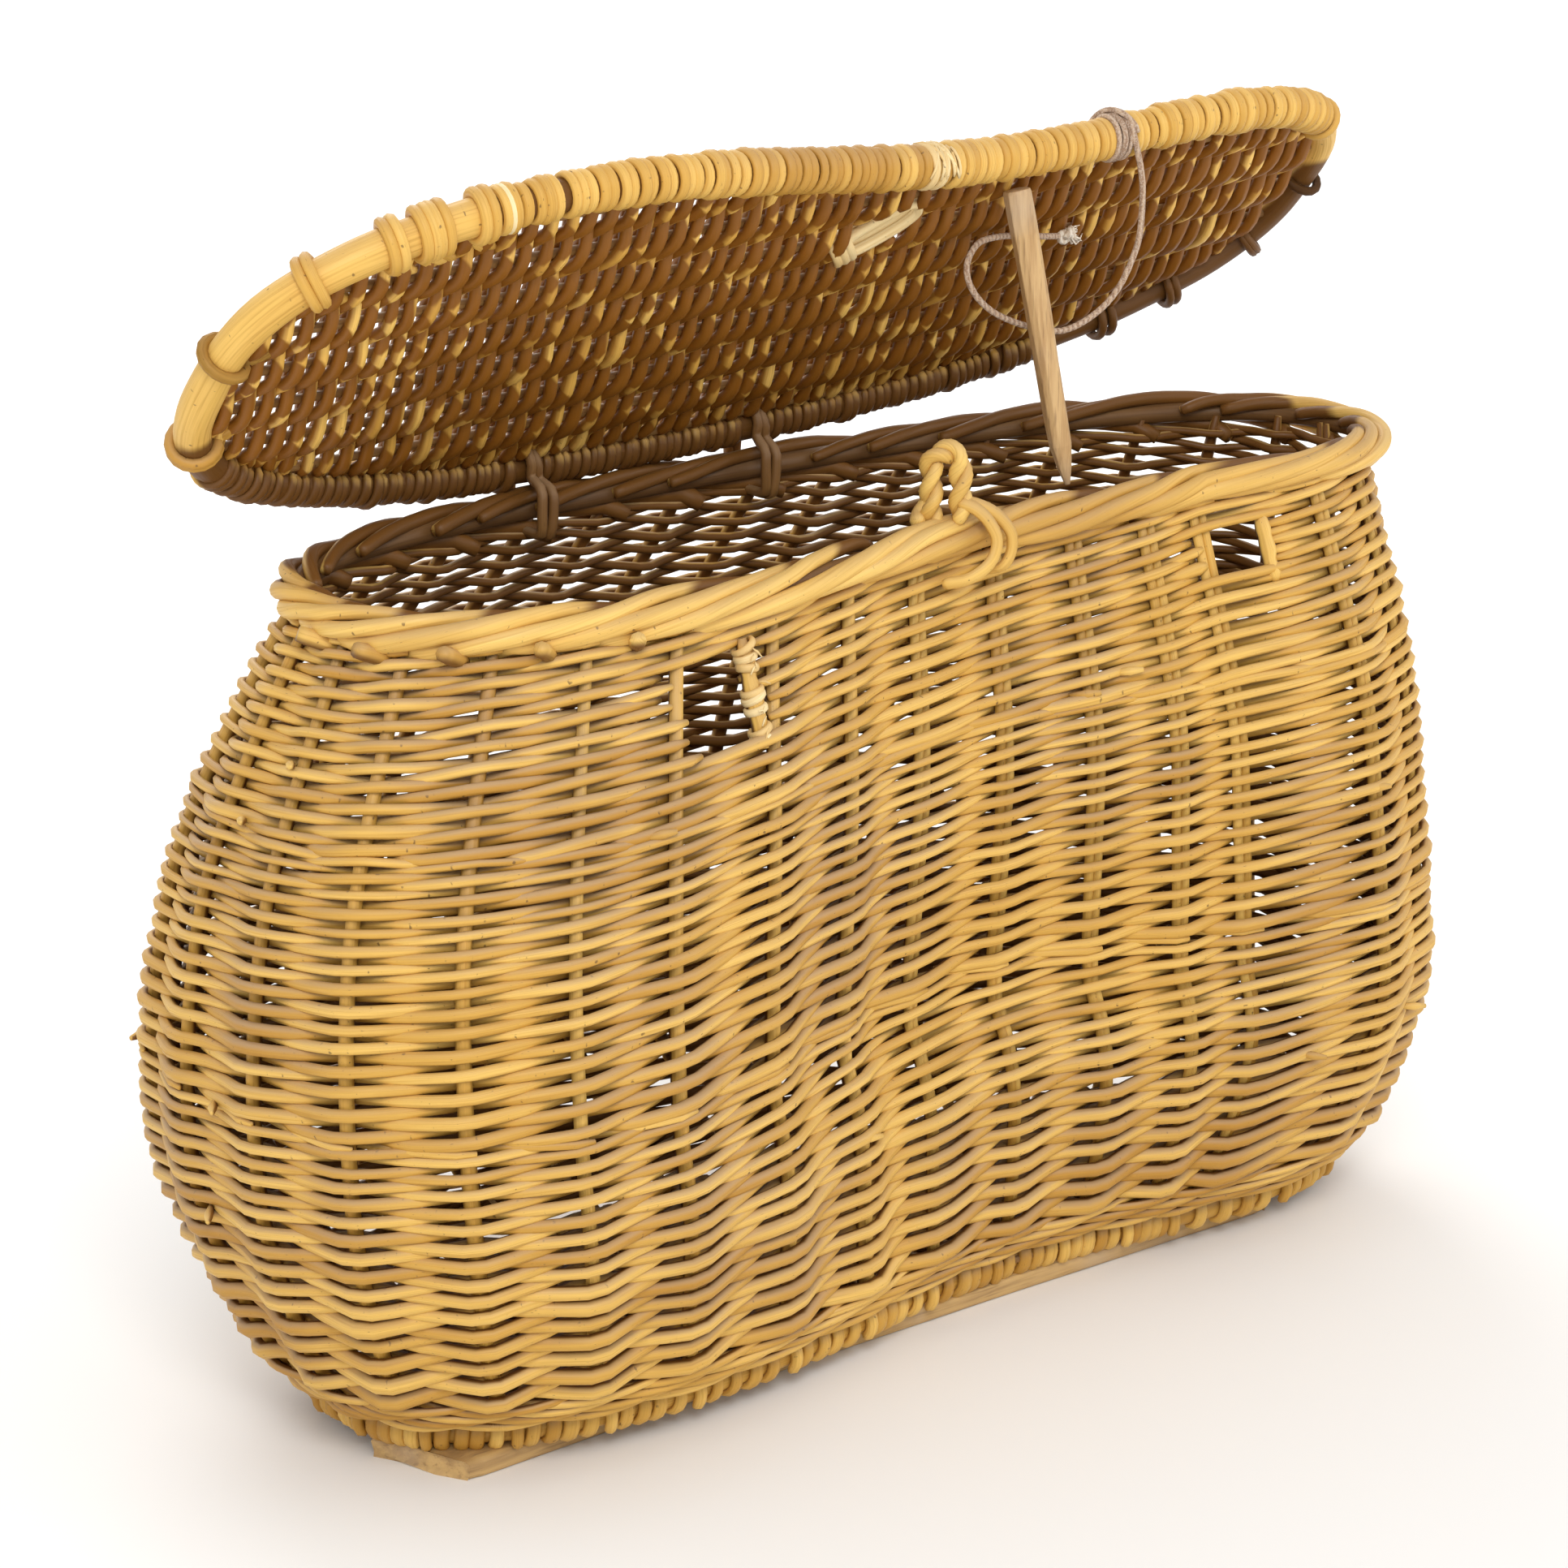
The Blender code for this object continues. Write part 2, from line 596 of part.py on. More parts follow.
def lid_turn():
    """The transform from the closed lid to the propped lid."""
    axis = Vector((-math.cos(LID_TURN), -math.sin(LID_TURN), 0))
    turn = Matrix.Rotation(LID_OPEN, 4, axis)
    return Matrix.Translation(HINGE_POINT) @ turn @ Matrix.Translation(-HINGE_POINT)


# --- closure loop, peg, hinge loops, twine ---------------------------------------------
def loop_feet():
    return [LOOP_AT + LOOP_DIR * LOOP_HALF * s for s in (1, -1)]


def make_closure_loop():
    """A twisted willow loop standing on the front border, its legs pushed into it."""
    left, right = loop_feet()
    rise = LOOP_TALL - LOOP_R - LOOP_HALF
    points = [left - Vector((0, 0, LOOP_DEEP)), left + Vector((0, 0, rise * 0.5))]
    for k in range(9):
        a = math.pi * k / 8
        mid = LOOP_AT + Vector((0, 0, rise))
        points.append(mid + LOOP_DIR * LOOP_HALF * math.cos(a) + Vector((0, 0, LOOP_HALF * math.sin(a))))
    points += [right + Vector((0, 0, rise * 0.5)), right - Vector((0, 0, LOOP_DEEP))]
    add_object("closure_loop", tube_mesh("closure_loop", points, LOOP_R), WILLOW)


def make_peg():
    """The whittled prop peg, square at the head and pointed at the foot."""
    head = lid_turn() @ PEG_HEAD
    run = PEG_FOOT - head
    parts = (0.0, 0.04, 0.45, 0.84, 0.95, 1.0)
    scales = [0.92, 1.0, 0.92, 0.80, 0.58, 0.36]
    points = [head + run * t for t in parts]
    return add_object("peg", tube_mesh("peg", points, PEG_R, scales=scales, sides=1), WOOD)


def make_hinge_loops():
    """Willow loops that hold the lid's back hoop down on the back border."""
    for i, x in enumerate(HINGE_X):
        shut, _ = lid_hoop_near(x, False)
        hoop = (shut + lid_turn() @ shut) / 2
        rim = wall_point(back_angle(x, RIM_Z), RIM_Z)
        r = HINGE_LOOP_R
        inner = rim[1] + BORDER_OUT - BORDER_WIDE / 2 - r - 0.0008
        outer = max(rim[1] + BORDER_OUT + BORDER_WIDE / 2, hoop.y + LID_HOOP_R) + r + 0.0012
        low = BORDER_TOP - BORDER_TALL - r - 0.0008
        over = BORDER_TOP + r + 0.0004
        ring = [(outer, low + 0.004), (outer - 0.004, low), (inner + 0.004, low), (inner, low + 0.004),
                (inner, over - 0.003), (inner + 0.003, over)]
        clear = LID_HOOP_R + r + 0.0022
        for k in range(9):
            a = math.radians(200 - 27.5 * k)
            ring.append((hoop.y + clear * math.cos(a), hoop.z + clear * math.sin(a)))
        points = [(x, py, pz) for py, pz in ring]
        name = ("hinge_loop_left", "hinge_loop_right")[i]
        add_object(name, tube_mesh(name, points, r, cyclic=True, sides=1), WILLOW_DARK)


def smooth_route(points, step):
    """Points on a smooth curve through a hand-laid route."""
    line = [np.array(points[0]) * 2 - np.array(points[1])] + [np.array(p) for p in points]
    line.append(line[-1] * 2 - line[-2])
    route = []
    for i in range(1, len(line) - 2):
        a, b, c, d = line[i - 1:i + 3]
        pieces = max(1, round(np.linalg.norm(c - b) / step))
        for k in range(pieces):
            t = k / pieces
            route.append(0.5 * (2 * b + (c - a) * t + (2 * a - 5 * b + 4 * c - d) * t**2
                                + (3 * b - a - 3 * c + d) * t**3))
    route.append(line[-2])
    return route


def make_twine():
    """The loose twine, from its turns on the hoop to its knot."""
    route = smooth_route(TWINE, 0.005)
    return add_object("twine", tube_mesh("twine", route, TWINE_R, sides=2), CORD, 0.9)


# --- placing ------------------------------------------------------------------------------
def place(made, empty, turn=None):
    """Puts an object drawn in basket coordinates on its body's empty."""
    lift = Vector((0, 0, BASE_Z))
    home = Matrix.Translation(HINGE_POINT) if empty else Matrix()
    turned = (home.inverted() @ turn) if turn else home.inverted()
    made.data.transform(turned)
    made.matrix_world = Matrix.Translation(FRAME_SHIFT + lift) @ home
    if empty:
        made.parent = empty
        made.matrix_parent_inverse = empty.matrix_world.inverted()


def make_all():
    make_wall()
    make_stakes()
    make_hand_posts()
    make_border()
    make_base()
    make_closure_loop()
    make_hinge_loops()
    basket = list(PARTS.objects) + list(CUTTERS.objects)
    lid = make_lid()
    carried = [make_peg(), make_twine()]
    axis = bpy.data.objects.new("lid_axis", None)
    PARTS.objects.link(axis)
    axis.location = HINGE_POINT + FRAME_SHIFT + Vector((0, 0, BASE_Z))
    bpy.context.view_layer.update()
    for made in basket:
        place(made, None)
    for made in lid:
        place(made, axis, lid_turn())
    for made in carried:
        place(made, axis)
    for made in PARTS.objects:
        if made.type == "MESH":
            made.data.shade_smooth()
            made.data.set_sharp_from_angle(angle=math.radians(40))


clear_scene()
PARTS = collection("laundry_hamper")
CUTTERS = collection("cutters")
make_all()
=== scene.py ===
"""Looks of the wicker laundry hamper: every rod of its weave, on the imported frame.

Lengths are in metres. Places are worked out in basket coordinates, where the base
hoop's underside is at z = 0 and the lid is shut, and then carried to the frame.
"""
import json
import math

import bpy
import numpy as np
from mathutils import Matrix, Vector


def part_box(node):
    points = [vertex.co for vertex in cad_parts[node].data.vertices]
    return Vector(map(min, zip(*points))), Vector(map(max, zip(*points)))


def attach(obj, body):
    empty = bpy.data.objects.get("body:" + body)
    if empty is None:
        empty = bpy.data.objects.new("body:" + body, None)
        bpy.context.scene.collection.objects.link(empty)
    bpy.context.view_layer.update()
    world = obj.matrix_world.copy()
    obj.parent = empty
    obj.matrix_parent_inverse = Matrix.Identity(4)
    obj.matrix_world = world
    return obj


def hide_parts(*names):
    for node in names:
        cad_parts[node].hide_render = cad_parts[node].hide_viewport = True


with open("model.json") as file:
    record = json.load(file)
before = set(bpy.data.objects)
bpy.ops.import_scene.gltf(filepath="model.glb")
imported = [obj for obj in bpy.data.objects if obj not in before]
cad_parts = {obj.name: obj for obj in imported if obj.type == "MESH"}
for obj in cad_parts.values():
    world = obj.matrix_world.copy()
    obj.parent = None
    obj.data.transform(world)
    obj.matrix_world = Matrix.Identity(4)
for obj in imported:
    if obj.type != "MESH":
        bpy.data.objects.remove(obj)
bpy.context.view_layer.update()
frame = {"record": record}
DICE = np.random.default_rng(408)
UP = np.array((0, 0, 1.0))

# --- the basket's shape, as in the CAD ---
RIM_Z = 0.3658
LEVELS = (0.0, 0.10, 0.35, 0.62, 1.0)
HALF_LONG = (0.2700, 0.2945, 0.3134, 0.3077, 0.2720)
HALF_DEEP = (0.0976, 0.1347, 0.1778, 0.1586, 0.0863)
DENT_LEVELS = (0.0, 0.4, 1.0)
DENT = (0.0504, 0.1096, 0.0472)
DENT_X = 0.0267
DENT_WIDTH = 0.593
SQUARENESS = 2.59
BELLY_SHIFT = -0.0208
BASE_SHIFT = (-0.0014, 0.0128)
STAKES = 32
STAKE_REF_Z = 0.22
STAKE_FRONT_X = (-0.281, -0.238, -0.181, -0.129, -0.075, -0.028, 0.020, 0.066, 0.106, 0.149, 0.212)
STAKE_INSET = 0.0046
HAND_HOLES = ((-0.1430, 0.297, 0.3336, 0.040), (0.1545, 0.313, 0.3336, 0.031))
BORDER_TOP = RIM_Z - 0.0040
BORDER_TALL = 0.0145
BORDER_WIDE = 0.0205
BORDER_OUT = 0.0026
HOOP_R = 0.006
LID_OPEN = math.radians(46.5)
LID_TURN = math.radians(2.6)
LID_Z = BORDER_TOP + 0.0100
HINGE_POINT = Vector((-0.060, 0.0925, LID_Z))
LID_CENTRE = (-0.0170, -0.0108)
LID_HALF_LONG = 0.2930
LID_HALF_DEEP = 0.1046
LID_SQUARENESS = 2.75
LID_DENT = 0.0374
LID_DENT_X = 0.0800
LID_DENT_WIDTH = 0.59
LID_BACK_TAPER = 0.15
LID_BOW = 0.0040
LID_HOOP_R = 0.0070
LOOP_AT = np.array((0.0030, -0.0430, BORDER_TOP))
LOOP_DIR = np.array((-0.79, 0.61, 0.0)) / math.hypot(0.79, 0.61)
LOOP_TALL = 0.0330
SLOT_AT = np.array((0.0030, -0.0439, LID_Z))    # 1.6 mm nearer the loop than in the CAD, to clear it
SLOT_LONG = 0.036
SLOT_WIDE = 0.014
PEG_FOOT = np.array((0.0803, -0.0343, BORDER_TOP - 0.0055))
PEG_HEAD = np.array((0.0645, -0.0645, LID_Z - 0.0080))
HINGE_X = (-0.1220, 0.0010)
TWINE_R = 0.0014
TWINE_WRAP_X = 0.1170
KNOT_AT = np.array((0.1190, -0.0220, LID_Z - 0.0083))
TWINE = (                                       # its free part, with the lid raised
    (0.1206, -0.0330, 0.4915), (0.1206, -0.0348, 0.4830), (0.1214, -0.0340, 0.4725),
    (0.1216, -0.0325, 0.4600), (0.1199, -0.0305, 0.4507), (0.1153, -0.0285, 0.4397),
    (0.1092, -0.0260, 0.4311), (0.1003, -0.0235, 0.4247), (0.0918, -0.0210, 0.4211),
    (0.0851, -0.0185, 0.4205), (0.0729, -0.0155, 0.4236), (0.0630, -0.0130, 0.4276),
    (0.0560, -0.0110, 0.4317), (0.0503, -0.0090, 0.4373), (0.0470, -0.0075, 0.4434),
    (0.0464, -0.0060, 0.4488), (0.0486, -0.0045, 0.4540), (0.0552, -0.0030, 0.4597),
    (0.0656, -0.0012, 0.4609), (0.0773, 0.0003, 0.4603), (0.0884, 0.0020, 0.4588),
    (0.0988, 0.0042, 0.4572), (0.1100, 0.0075, 0.4557),
)

hinge = next(j for j in frame["record"]["behaviour"]["joints"] if j["name"] == "lid_hinge")
SHIFT = np.array(hinge["pos_m"]) - np.array(HINGE_POINT)      # basket coordinates to the frame

# --- looks ---
WEAVER_SIDES = 7
SAMPLES = 6                     # points along a rod from stake to stake
PER_STAKE = 16                  # columns of the wall's table from stake to stake
WALL_TABLE_ROWS = 90
FINE = 2880                     # steps round an outline when its length is measured
HOLE_STAKE_ROOM = 0.0036        # a stake beside a hand hole keeps this far from its edge
FRONT_SOFT = 0.04               # width over which the foot's bulge fades toward the back
SETS = (                        # foot, head, rows at a stake, rod radius at foot and head
    ("lower", 0.0275, 0.1580, 15.3, 0.0034, 0.0020),
    ("middle", 0.1560, 0.2720, 14.8, 0.0028, 0.0020),
    ("upper", 0.2695, 0.3480, 10.3, 0.0025, 0.0022),
)
SAG = (-0.006, -0.007, -0.0085, -0.0085, -0.008, -0.0075, -0.006, -0.005, -0.003, -0.001) + 18 * (0.0,) + (
    -0.001, -0.003, -0.005, -0.006)             # how far the rim has sunk, stake by stake
SAG_FROM, SAG_FULL = 0.20, 0.32                 # heights between which the wall sinks with it
BULGE = (0.010, -0.03, 0.10, 0.075)             # the foot's front bulge: reach, middle, width, height
BORDER_DEEP = 0.0185                            # the border rods reach lower than the CAD's band
BARE_HOOP_R = 0.0077
WRAPPED_HOOP_R = 0.0068
SKEIN_R = WRAPPED_HOOP_R + 0.0009


# --- plan outlines ---
def run_along(line):
    """Length along a line at each of its points."""
    return np.concatenate([[0], np.cumsum(np.linalg.norm(np.diff(line, axis=0), axis=1))])


def gentle_slopes(x, y):
    step = np.diff(x)
    rise = np.diff(y) / step
    slope = np.concatenate([[rise[0]], np.zeros(len(x) - 2), [rise[-1]]])
    for i in range(1, len(x) - 1):
        if rise[i - 1] * rise[i] > 0:
            before, after = 2 * step[i] + step[i - 1], step[i] + 2 * step[i - 1]
            slope[i] = (before + after) / (before / rise[i - 1] + after / rise[i])
    return slope


def hermite(levels, values, at):
    x, y = np.array(levels), np.array(values)
    slope = gentle_slopes(x, y)
    i = int(np.clip(np.searchsorted(x, at, side="right") - 1, 0, len(x) - 2))
    step = x[i + 1] - x[i]
    t = (np.clip(at, x[0], x[-1]) - x[i]) / step
    return ((2 * t**3 - 3 * t**2 + 1) * y[i] + (t**3 - 2 * t**2 + t) * step * slope[i]
            + (3 * t**2 - 2 * t**3) * y[i + 1] + (t**3 - t**2) * step * slope[i + 1])


def superellipse(angle, long, deep, power):
    c, s = np.cos(angle), np.sin(angle)
    return long * np.sign(c) * abs(c) ** (2 / power), deep * np.sign(s) * abs(s) ** (2 / power)


def push_in(x, y, deep, dent, dent_x, width):
    return np.where(y < 0, y + dent * abs(y) / deep * np.exp(-((x - dent_x) / width) ** 2), y)


def wall_row(angles, z):
    """The wall's outline at one height."""
    part = z / RIM_Z
    long, deep = hermite(LEVELS, HALF_LONG, part), hermite(LEVELS, HALF_DEEP, part)
    x, y = superellipse(angles, long, deep, SQUARENESS)
    y = push_in(x, y, deep, np.interp(part, DENT_LEVELS, DENT), DENT_X, DENT_WIDTH * long)
    x = x + BASE_SHIFT[0] * (1 - part) + BELLY_SHIFT * math.sin(math.pi * part)
    return np.stack([x, y + BASE_SHIFT[1] * (1 - part), np.full_like(x, z)], axis=1)


def front_angle(x, z):
    fine = np.linspace(math.radians(200), math.radians(340), 2800)      # the front's arc
    return fine[np.abs(wall_row(fine, z)[:, 0] - x).argmin()]


def stake_angles():
    front = [front_angle(x, STAKE_REF_Z) for x in STAKE_FRONT_X]
    fine = np.linspace(front[-1], front[0] + 2 * math.pi, FINE // 2 + 1)
    line = wall_row(fine, STAKE_REF_Z)
    run = run_along(line)
    spaces = STAKES - len(front) + 1
    rest = np.interp(np.arange(1, spaces) * run[-1] / spaces, run, fine)
    moved = []
    for angle in front:
        for x, foot, head, width in HAND_HOLES:
            middle = (foot + head) / 2
            off = wall_row(np.array([angle]), middle)[0, 0] - x
            room = width / 2 + HOLE_STAKE_ROOM
            if abs(off) < room:
                angle = front_angle(x + math.copysign(room, off), middle)
        moved.append(angle)
    return np.array(moved + list(rest))


def wall_tables():
    """Places and outward directions over the wall: a row per height, a column per part of a stake space."""
    known = stake_angles()
    known = np.append(known, known[0] + 2 * math.pi)
    at = np.arange(STAKES * PER_STAKE + 1) / PER_STAKE
    angles = np.interp(at, np.arange(STAKES + 1), known)
    place = np.array([wall_row(angles, z) for z in np.linspace(0, RIM_Z, WALL_TABLE_ROWS)])
    run = np.roll(place[:, :-1], -1, axis=1) - np.roll(place[:, :-1], 1, axis=1)
    run = np.concatenate([run, run[:, :1]], axis=1)
    rise = np.gradient(place, axis=0)
    out = np.cross(run, rise)
    return place, out / np.linalg.norm(out, axis=2, keepdims=True)


PLACE, OUT = wall_tables()


def wall_at(s, z):
    """Places on the wall at s, counted in stakes, and heights z, with outward directions."""
    s, z = np.broadcast_arrays(np.asarray(s, float), np.asarray(z, float))
    col = (s % STAKES) * PER_STAKE
    row = np.clip(z / RIM_Z, 0, 1) * (WALL_TABLE_ROWS - 1.001)
    c, r = np.minimum(col.astype(int), STAKES * PER_STAKE - 1), row.astype(int)
    fc, fr = (col - c)[:, None], (row - r)[:, None]
    found = []
    for table in (PLACE, OUT):
        low = table[r, c] * (1 - fc) + table[r, c + 1] * fc
        high = table[r + 1, c] * (1 - fc) + table[r + 1, c + 1] * fc
        found.append(low * (1 - fr) + high * fr)
    sunk = np.interp(s % STAKES, np.arange(STAKES + 1), SAG + SAG[:1])
    found[0][:, 2] += sunk * np.clip((z - SAG_FROM) / (SAG_FULL - SAG_FROM), 0, 1)
    reach, middle, width, high = BULGE
    front = np.clip(0.5 - found[0][:, 1] / FRONT_SOFT, 0, 1) * np.clip(1 - z / high, 0, 1)
    found[0][:, 1] -= reach * front * np.exp(-((found[0][:, 0] - middle) / width) ** 2)
    return found[0], found[1] / np.linalg.norm(found[1], axis=1, keepdims=True)


def lid_ring(count):
    """The shut lid's hoop line: points evenly spaced, and outward directions in its plane."""
    fine = np.linspace(0, 2 * math.pi, FINE + 1)[:-1]
    x, y = superellipse(fine, LID_HALF_LONG, LID_HALF_DEEP, LID_SQUARENESS)
    y = push_in(x, y, LID_HALF_DEEP, LID_DENT, LID_DENT_X, LID_DENT_WIDTH * LID_HALF_LONG)
    y = np.where(y > 0, y * (1 - LID_BACK_TAPER * np.maximum(x / LID_HALF_LONG, 0) ** 2), y)
    loop = np.stack([np.append(x, x[0]), np.append(y, y[0])], axis=1)
    run = run_along(loop)
    at = np.arange(count) * run[-1] / count
    px, py = np.interp(at, run, loop[:, 0]), np.interp(at, run, loop[:, 1])
    height = LID_Z + LID_BOW * (px / LID_HALF_LONG) ** 2
    line = np.stack([px + LID_CENTRE[0], py + LID_CENTRE[1], height], axis=1)
    along = np.roll(line, -1, axis=0) - np.roll(line, 1, axis=0)
    out = np.cross(along, UP)
    return line, out / np.linalg.norm(out, axis=1, keepdims=True)


# --- rods ---
def unit(v):
    return v / np.linalg.norm(v, axis=-1, keepdims=True)


def add_object(name, data):
    made = bpy.data.objects.new(name, data)
    bpy.context.scene.collection.objects.link(made)
    return made


def tell(made, body, nodes=()):
    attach(made, body)
    if nodes:
        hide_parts(*nodes)
    return made


def make_solid(name, verts, faces, mat, body, node, soften):
    """One piece of plain wood with softened edges."""
    mesh = bpy.data.meshes.new(name)
    mesh.from_pydata([tuple(v) for v in verts], [], faces)
    mesh.materials.append(mat)
    made = add_object(name, mesh)
    soft = made.modifiers.new("soft", "BEVEL")
    soft.width, soft.segments, soft.limit_method = soften, 2, "ANGLE"
    return tell(made, body, (node,))


def ring_quads(i, m):
    """Faces between ring i and the next, of m points each."""
    return [(i * m + k, i * m + (k + 1) % m, (i + 1) * m + (k + 1) % m, (i + 1) * m + k) for k in range(m)]


def around(centre, out, angle, reach):
    """Points round centre, angle 0 along out and a quarter turn later straight up."""
    return centre + out * (reach * np.cos(angle))[:, None] + UP * (reach * np.sin(angle))[:, None]


class Rods:
    """Gathers rods as round tubes in one mesh, with the numbers their material reads."""

    def __init__(self):
        self.verts, self.faces, self.numbers, self.count = [], [], [], 0

    # side sets or shifts each face's painted_shade_facing, the mask of painted shade: faces it marks as
    # turned away take the material's painted shade colour.
    def add(self, line, radius, out, sides=8, flat=1.0, tone=None, side=None, closed=False, blunt=0.6):
        line = np.asarray(line, float)
        n = len(line)
        radius = np.broadcast_to(np.asarray(radius, float), (n,)).copy()
        out = np.broadcast_to(np.asarray(out, float), (n, 3))
        tone = DICE.random() if tone is None else tone
        if closed:
            along = np.roll(line, -1, axis=0) - np.roll(line, 1, axis=0)
        else:
            along = np.gradient(line, axis=0)
            radius[0] *= blunt
            radius[-1] *= blunt
        along = unit(along)
        up = unit(out - (out * along).sum(1, keepdims=True) * along)
        across = np.cross(along, up)
        turn = 2 * math.pi * np.arange(sides) / sides
        c, s = np.cos(turn)[None, :, None], np.sin(turn)[None, :, None]
        ring = line[:, None] + radius[:, None, None] * (c * up[:, None] * flat + s * across[:, None])
        run = run_along(line)
        seed = DICE.random() * 50
        # Painted shade: by default a face's painted_shade_facing is how far it faces along out, so the side
        # turned from out is painted shaded.
        painted_shade_facing = np.broadcast_to(np.cos(turn)[None, :], (n, sides))
        if side is not None:
            side = np.asarray(side, float)
            painted_shade_facing = side if side.ndim == 2 else np.broadcast_to(side, (n,))[:, None] + 0.35 * painted_shade_facing
        numbers = np.stack([np.full((n, sides), tone), painted_shade_facing,
                            np.broadcast_to(run[:, None], (n, sides)) + seed,
                            np.broadcast_to(turn[None, :] * radius.mean(), (n, sides)) + seed], axis=2)
        base = self.count
        self.verts.append(ring.reshape(-1, 3))
        self.numbers.append(numbers.reshape(-1, 4))
        rows = n if closed else n - 1
        i = np.arange(rows)[:, None] * sides
        j = (np.arange(rows)[:, None] + 1) % n * sides
        k, m = np.arange(sides)[None, :], (np.arange(sides)[None, :] + 1) % sides
        quads = np.stack([i + k, i + m, j + m, j + k], axis=2).reshape(-1, 4) + base
        self.faces.extend(quads.tolist())
        self.count += n * sides
        if not closed:
            self.faces.append(list(range(base + sides - 1, base - 1, -1)))
            self.faces.append(list(range(self.count - sides, self.count)))

    def make(self, name, mat, body, nodes=(), slot=None, turn=None):
        verts = np.concatenate(self.verts)
        numbers = np.concatenate(self.numbers)
        if turn is not None:
            verts = verts @ np.array(turn.to_3x3()).T + np.array(turn.translation)
        mesh = bpy.data.meshes.new(name)
        mesh.from_pydata((verts + SHIFT).tolist(), [], self.faces)
        for i, label in enumerate(("tone", "painted_shade_facing")):
            values = mesh.attributes.new(label, "FLOAT", "POINT").data
            values.foreach_set("value", numbers[:, i].astype(np.float32))
        grain = np.stack([numbers[:, 2], numbers[:, 3], np.zeros(len(numbers))], axis=1)
        mesh.attributes.new("grain", "FLOAT_VECTOR", "POINT").data.foreach_set("vector", grain.ravel())
        mesh.materials.append(mat)
        mesh.shade_smooth()
        return tell(add_object(name, mesh), body, nodes)


def smooth(points, step=0.003):
    """A smooth curve through given points."""
    pts = np.asarray(points, float)
    line = np.vstack([2 * pts[0] - pts[1], pts, 2 * pts[-1] - pts[-2]])
    found = []
    for i in range(1, len(line) - 2):
        a, b, c, d = line[i - 1:i + 3]
        pieces = max(1, round(np.linalg.norm(c - b) / step))
        t = (np.arange(pieces) / pieces)[:, None]
        found.append(0.5 * (2 * b + (c - a) * t + (2 * a - 5 * b + 4 * c - d) * t**2
                            + (3 * b - a - 3 * c + d) * t**3))
    return np.vstack(found + [pts[-1:]])


def wander(count, size, every=1.0):
    """A gentle random wobble along count points, new about every so many points."""
    knots = DICE.normal(0, size, int(count / every) + 3)
    at = np.arange(count) / every
    i = at.astype(int)
    t = at - i
    t = t * t * (3 - 2 * t)
    return knots[i] * (1 - t) + knots[i + 1] * t


# --- materials ---
class Nodes:
    """Short hand for building one material's nodes."""

    def __init__(self, name):
        self.mat = bpy.data.materials.new(name)
        self.mat.use_nodes = True
        self.tree = self.mat.node_tree
        self.shader = self.tree.nodes["Principled BSDF"]

    def put(self, kind, **inputs):
        made = self.tree.nodes.new(kind)
        for key, value in inputs.items():
            socket = made.inputs[int(key[1:])] if key[0] == "_" else made.inputs[key.replace("_", " ")]
            if isinstance(value, bpy.types.NodeSocket):
                self.tree.links.new(value, socket)
            else:
                socket.default_value = value
        return made

    def attribute(self, label, output="Fac"):
        made = self.put("ShaderNodeAttribute")
        made.attribute_name = label
        return made.outputs[output]

    def own_place(self):
        return self.put("ShaderNodeTexCoord").outputs["Object"]

    def maths(self, kind, a, b):
        made = self.put("ShaderNodeMath", _0=a, _1=b)
        made.operation = kind
        return made.outputs[0]

    def span(self, value, low, high, to_low=0.0, to_high=1.0):
        made = self.put("ShaderNodeMapRange", Value=value, From_Min=low, From_Max=high,
                        To_Min=to_low, To_Max=to_high)
        made.interpolation_type = "SMOOTHSTEP"
        return made.outputs["Result"]

    def mix(self, factor, a, b, kind="MIX"):
        made = self.tree.nodes.new("ShaderNodeMix")
        made.data_type = "RGBA"
        made.blend_type = kind
        for socket, value in ((made.inputs[0], factor), (made.inputs[6], a), (made.inputs[7], b)):
            if isinstance(value, bpy.types.NodeSocket):
                self.tree.links.new(value, socket)
            else:
                socket.default_value = (*value, 1.0) if isinstance(value, tuple) else value
        return made.outputs[2]

    def scaled(self, vector, scale):
        return self.put("ShaderNodeMapping", Vector=vector, Scale=scale).outputs[0]

    def noise(self, vector, scale, detail=2.0, rough=0.5):
        made = self.put("ShaderNodeTexNoise", Vector=vector, Scale=scale, Detail=detail, Roughness=rough)
        return made.outputs[0]

    def finish(self, colour, rough, bump=None, strength=0.3, distance=0.0004):
        self.tree.links.new(colour, self.shader.inputs["Base Color"])
        self.tree.links.new(rough, self.shader.inputs["Roughness"])
        if bump is not None:
            made = self.put("ShaderNodeBump", Strength=strength, Distance=distance, Height=bump)
            self.tree.links.new(made.outputs[0], self.shader.inputs["Normal"])
        return self.mat


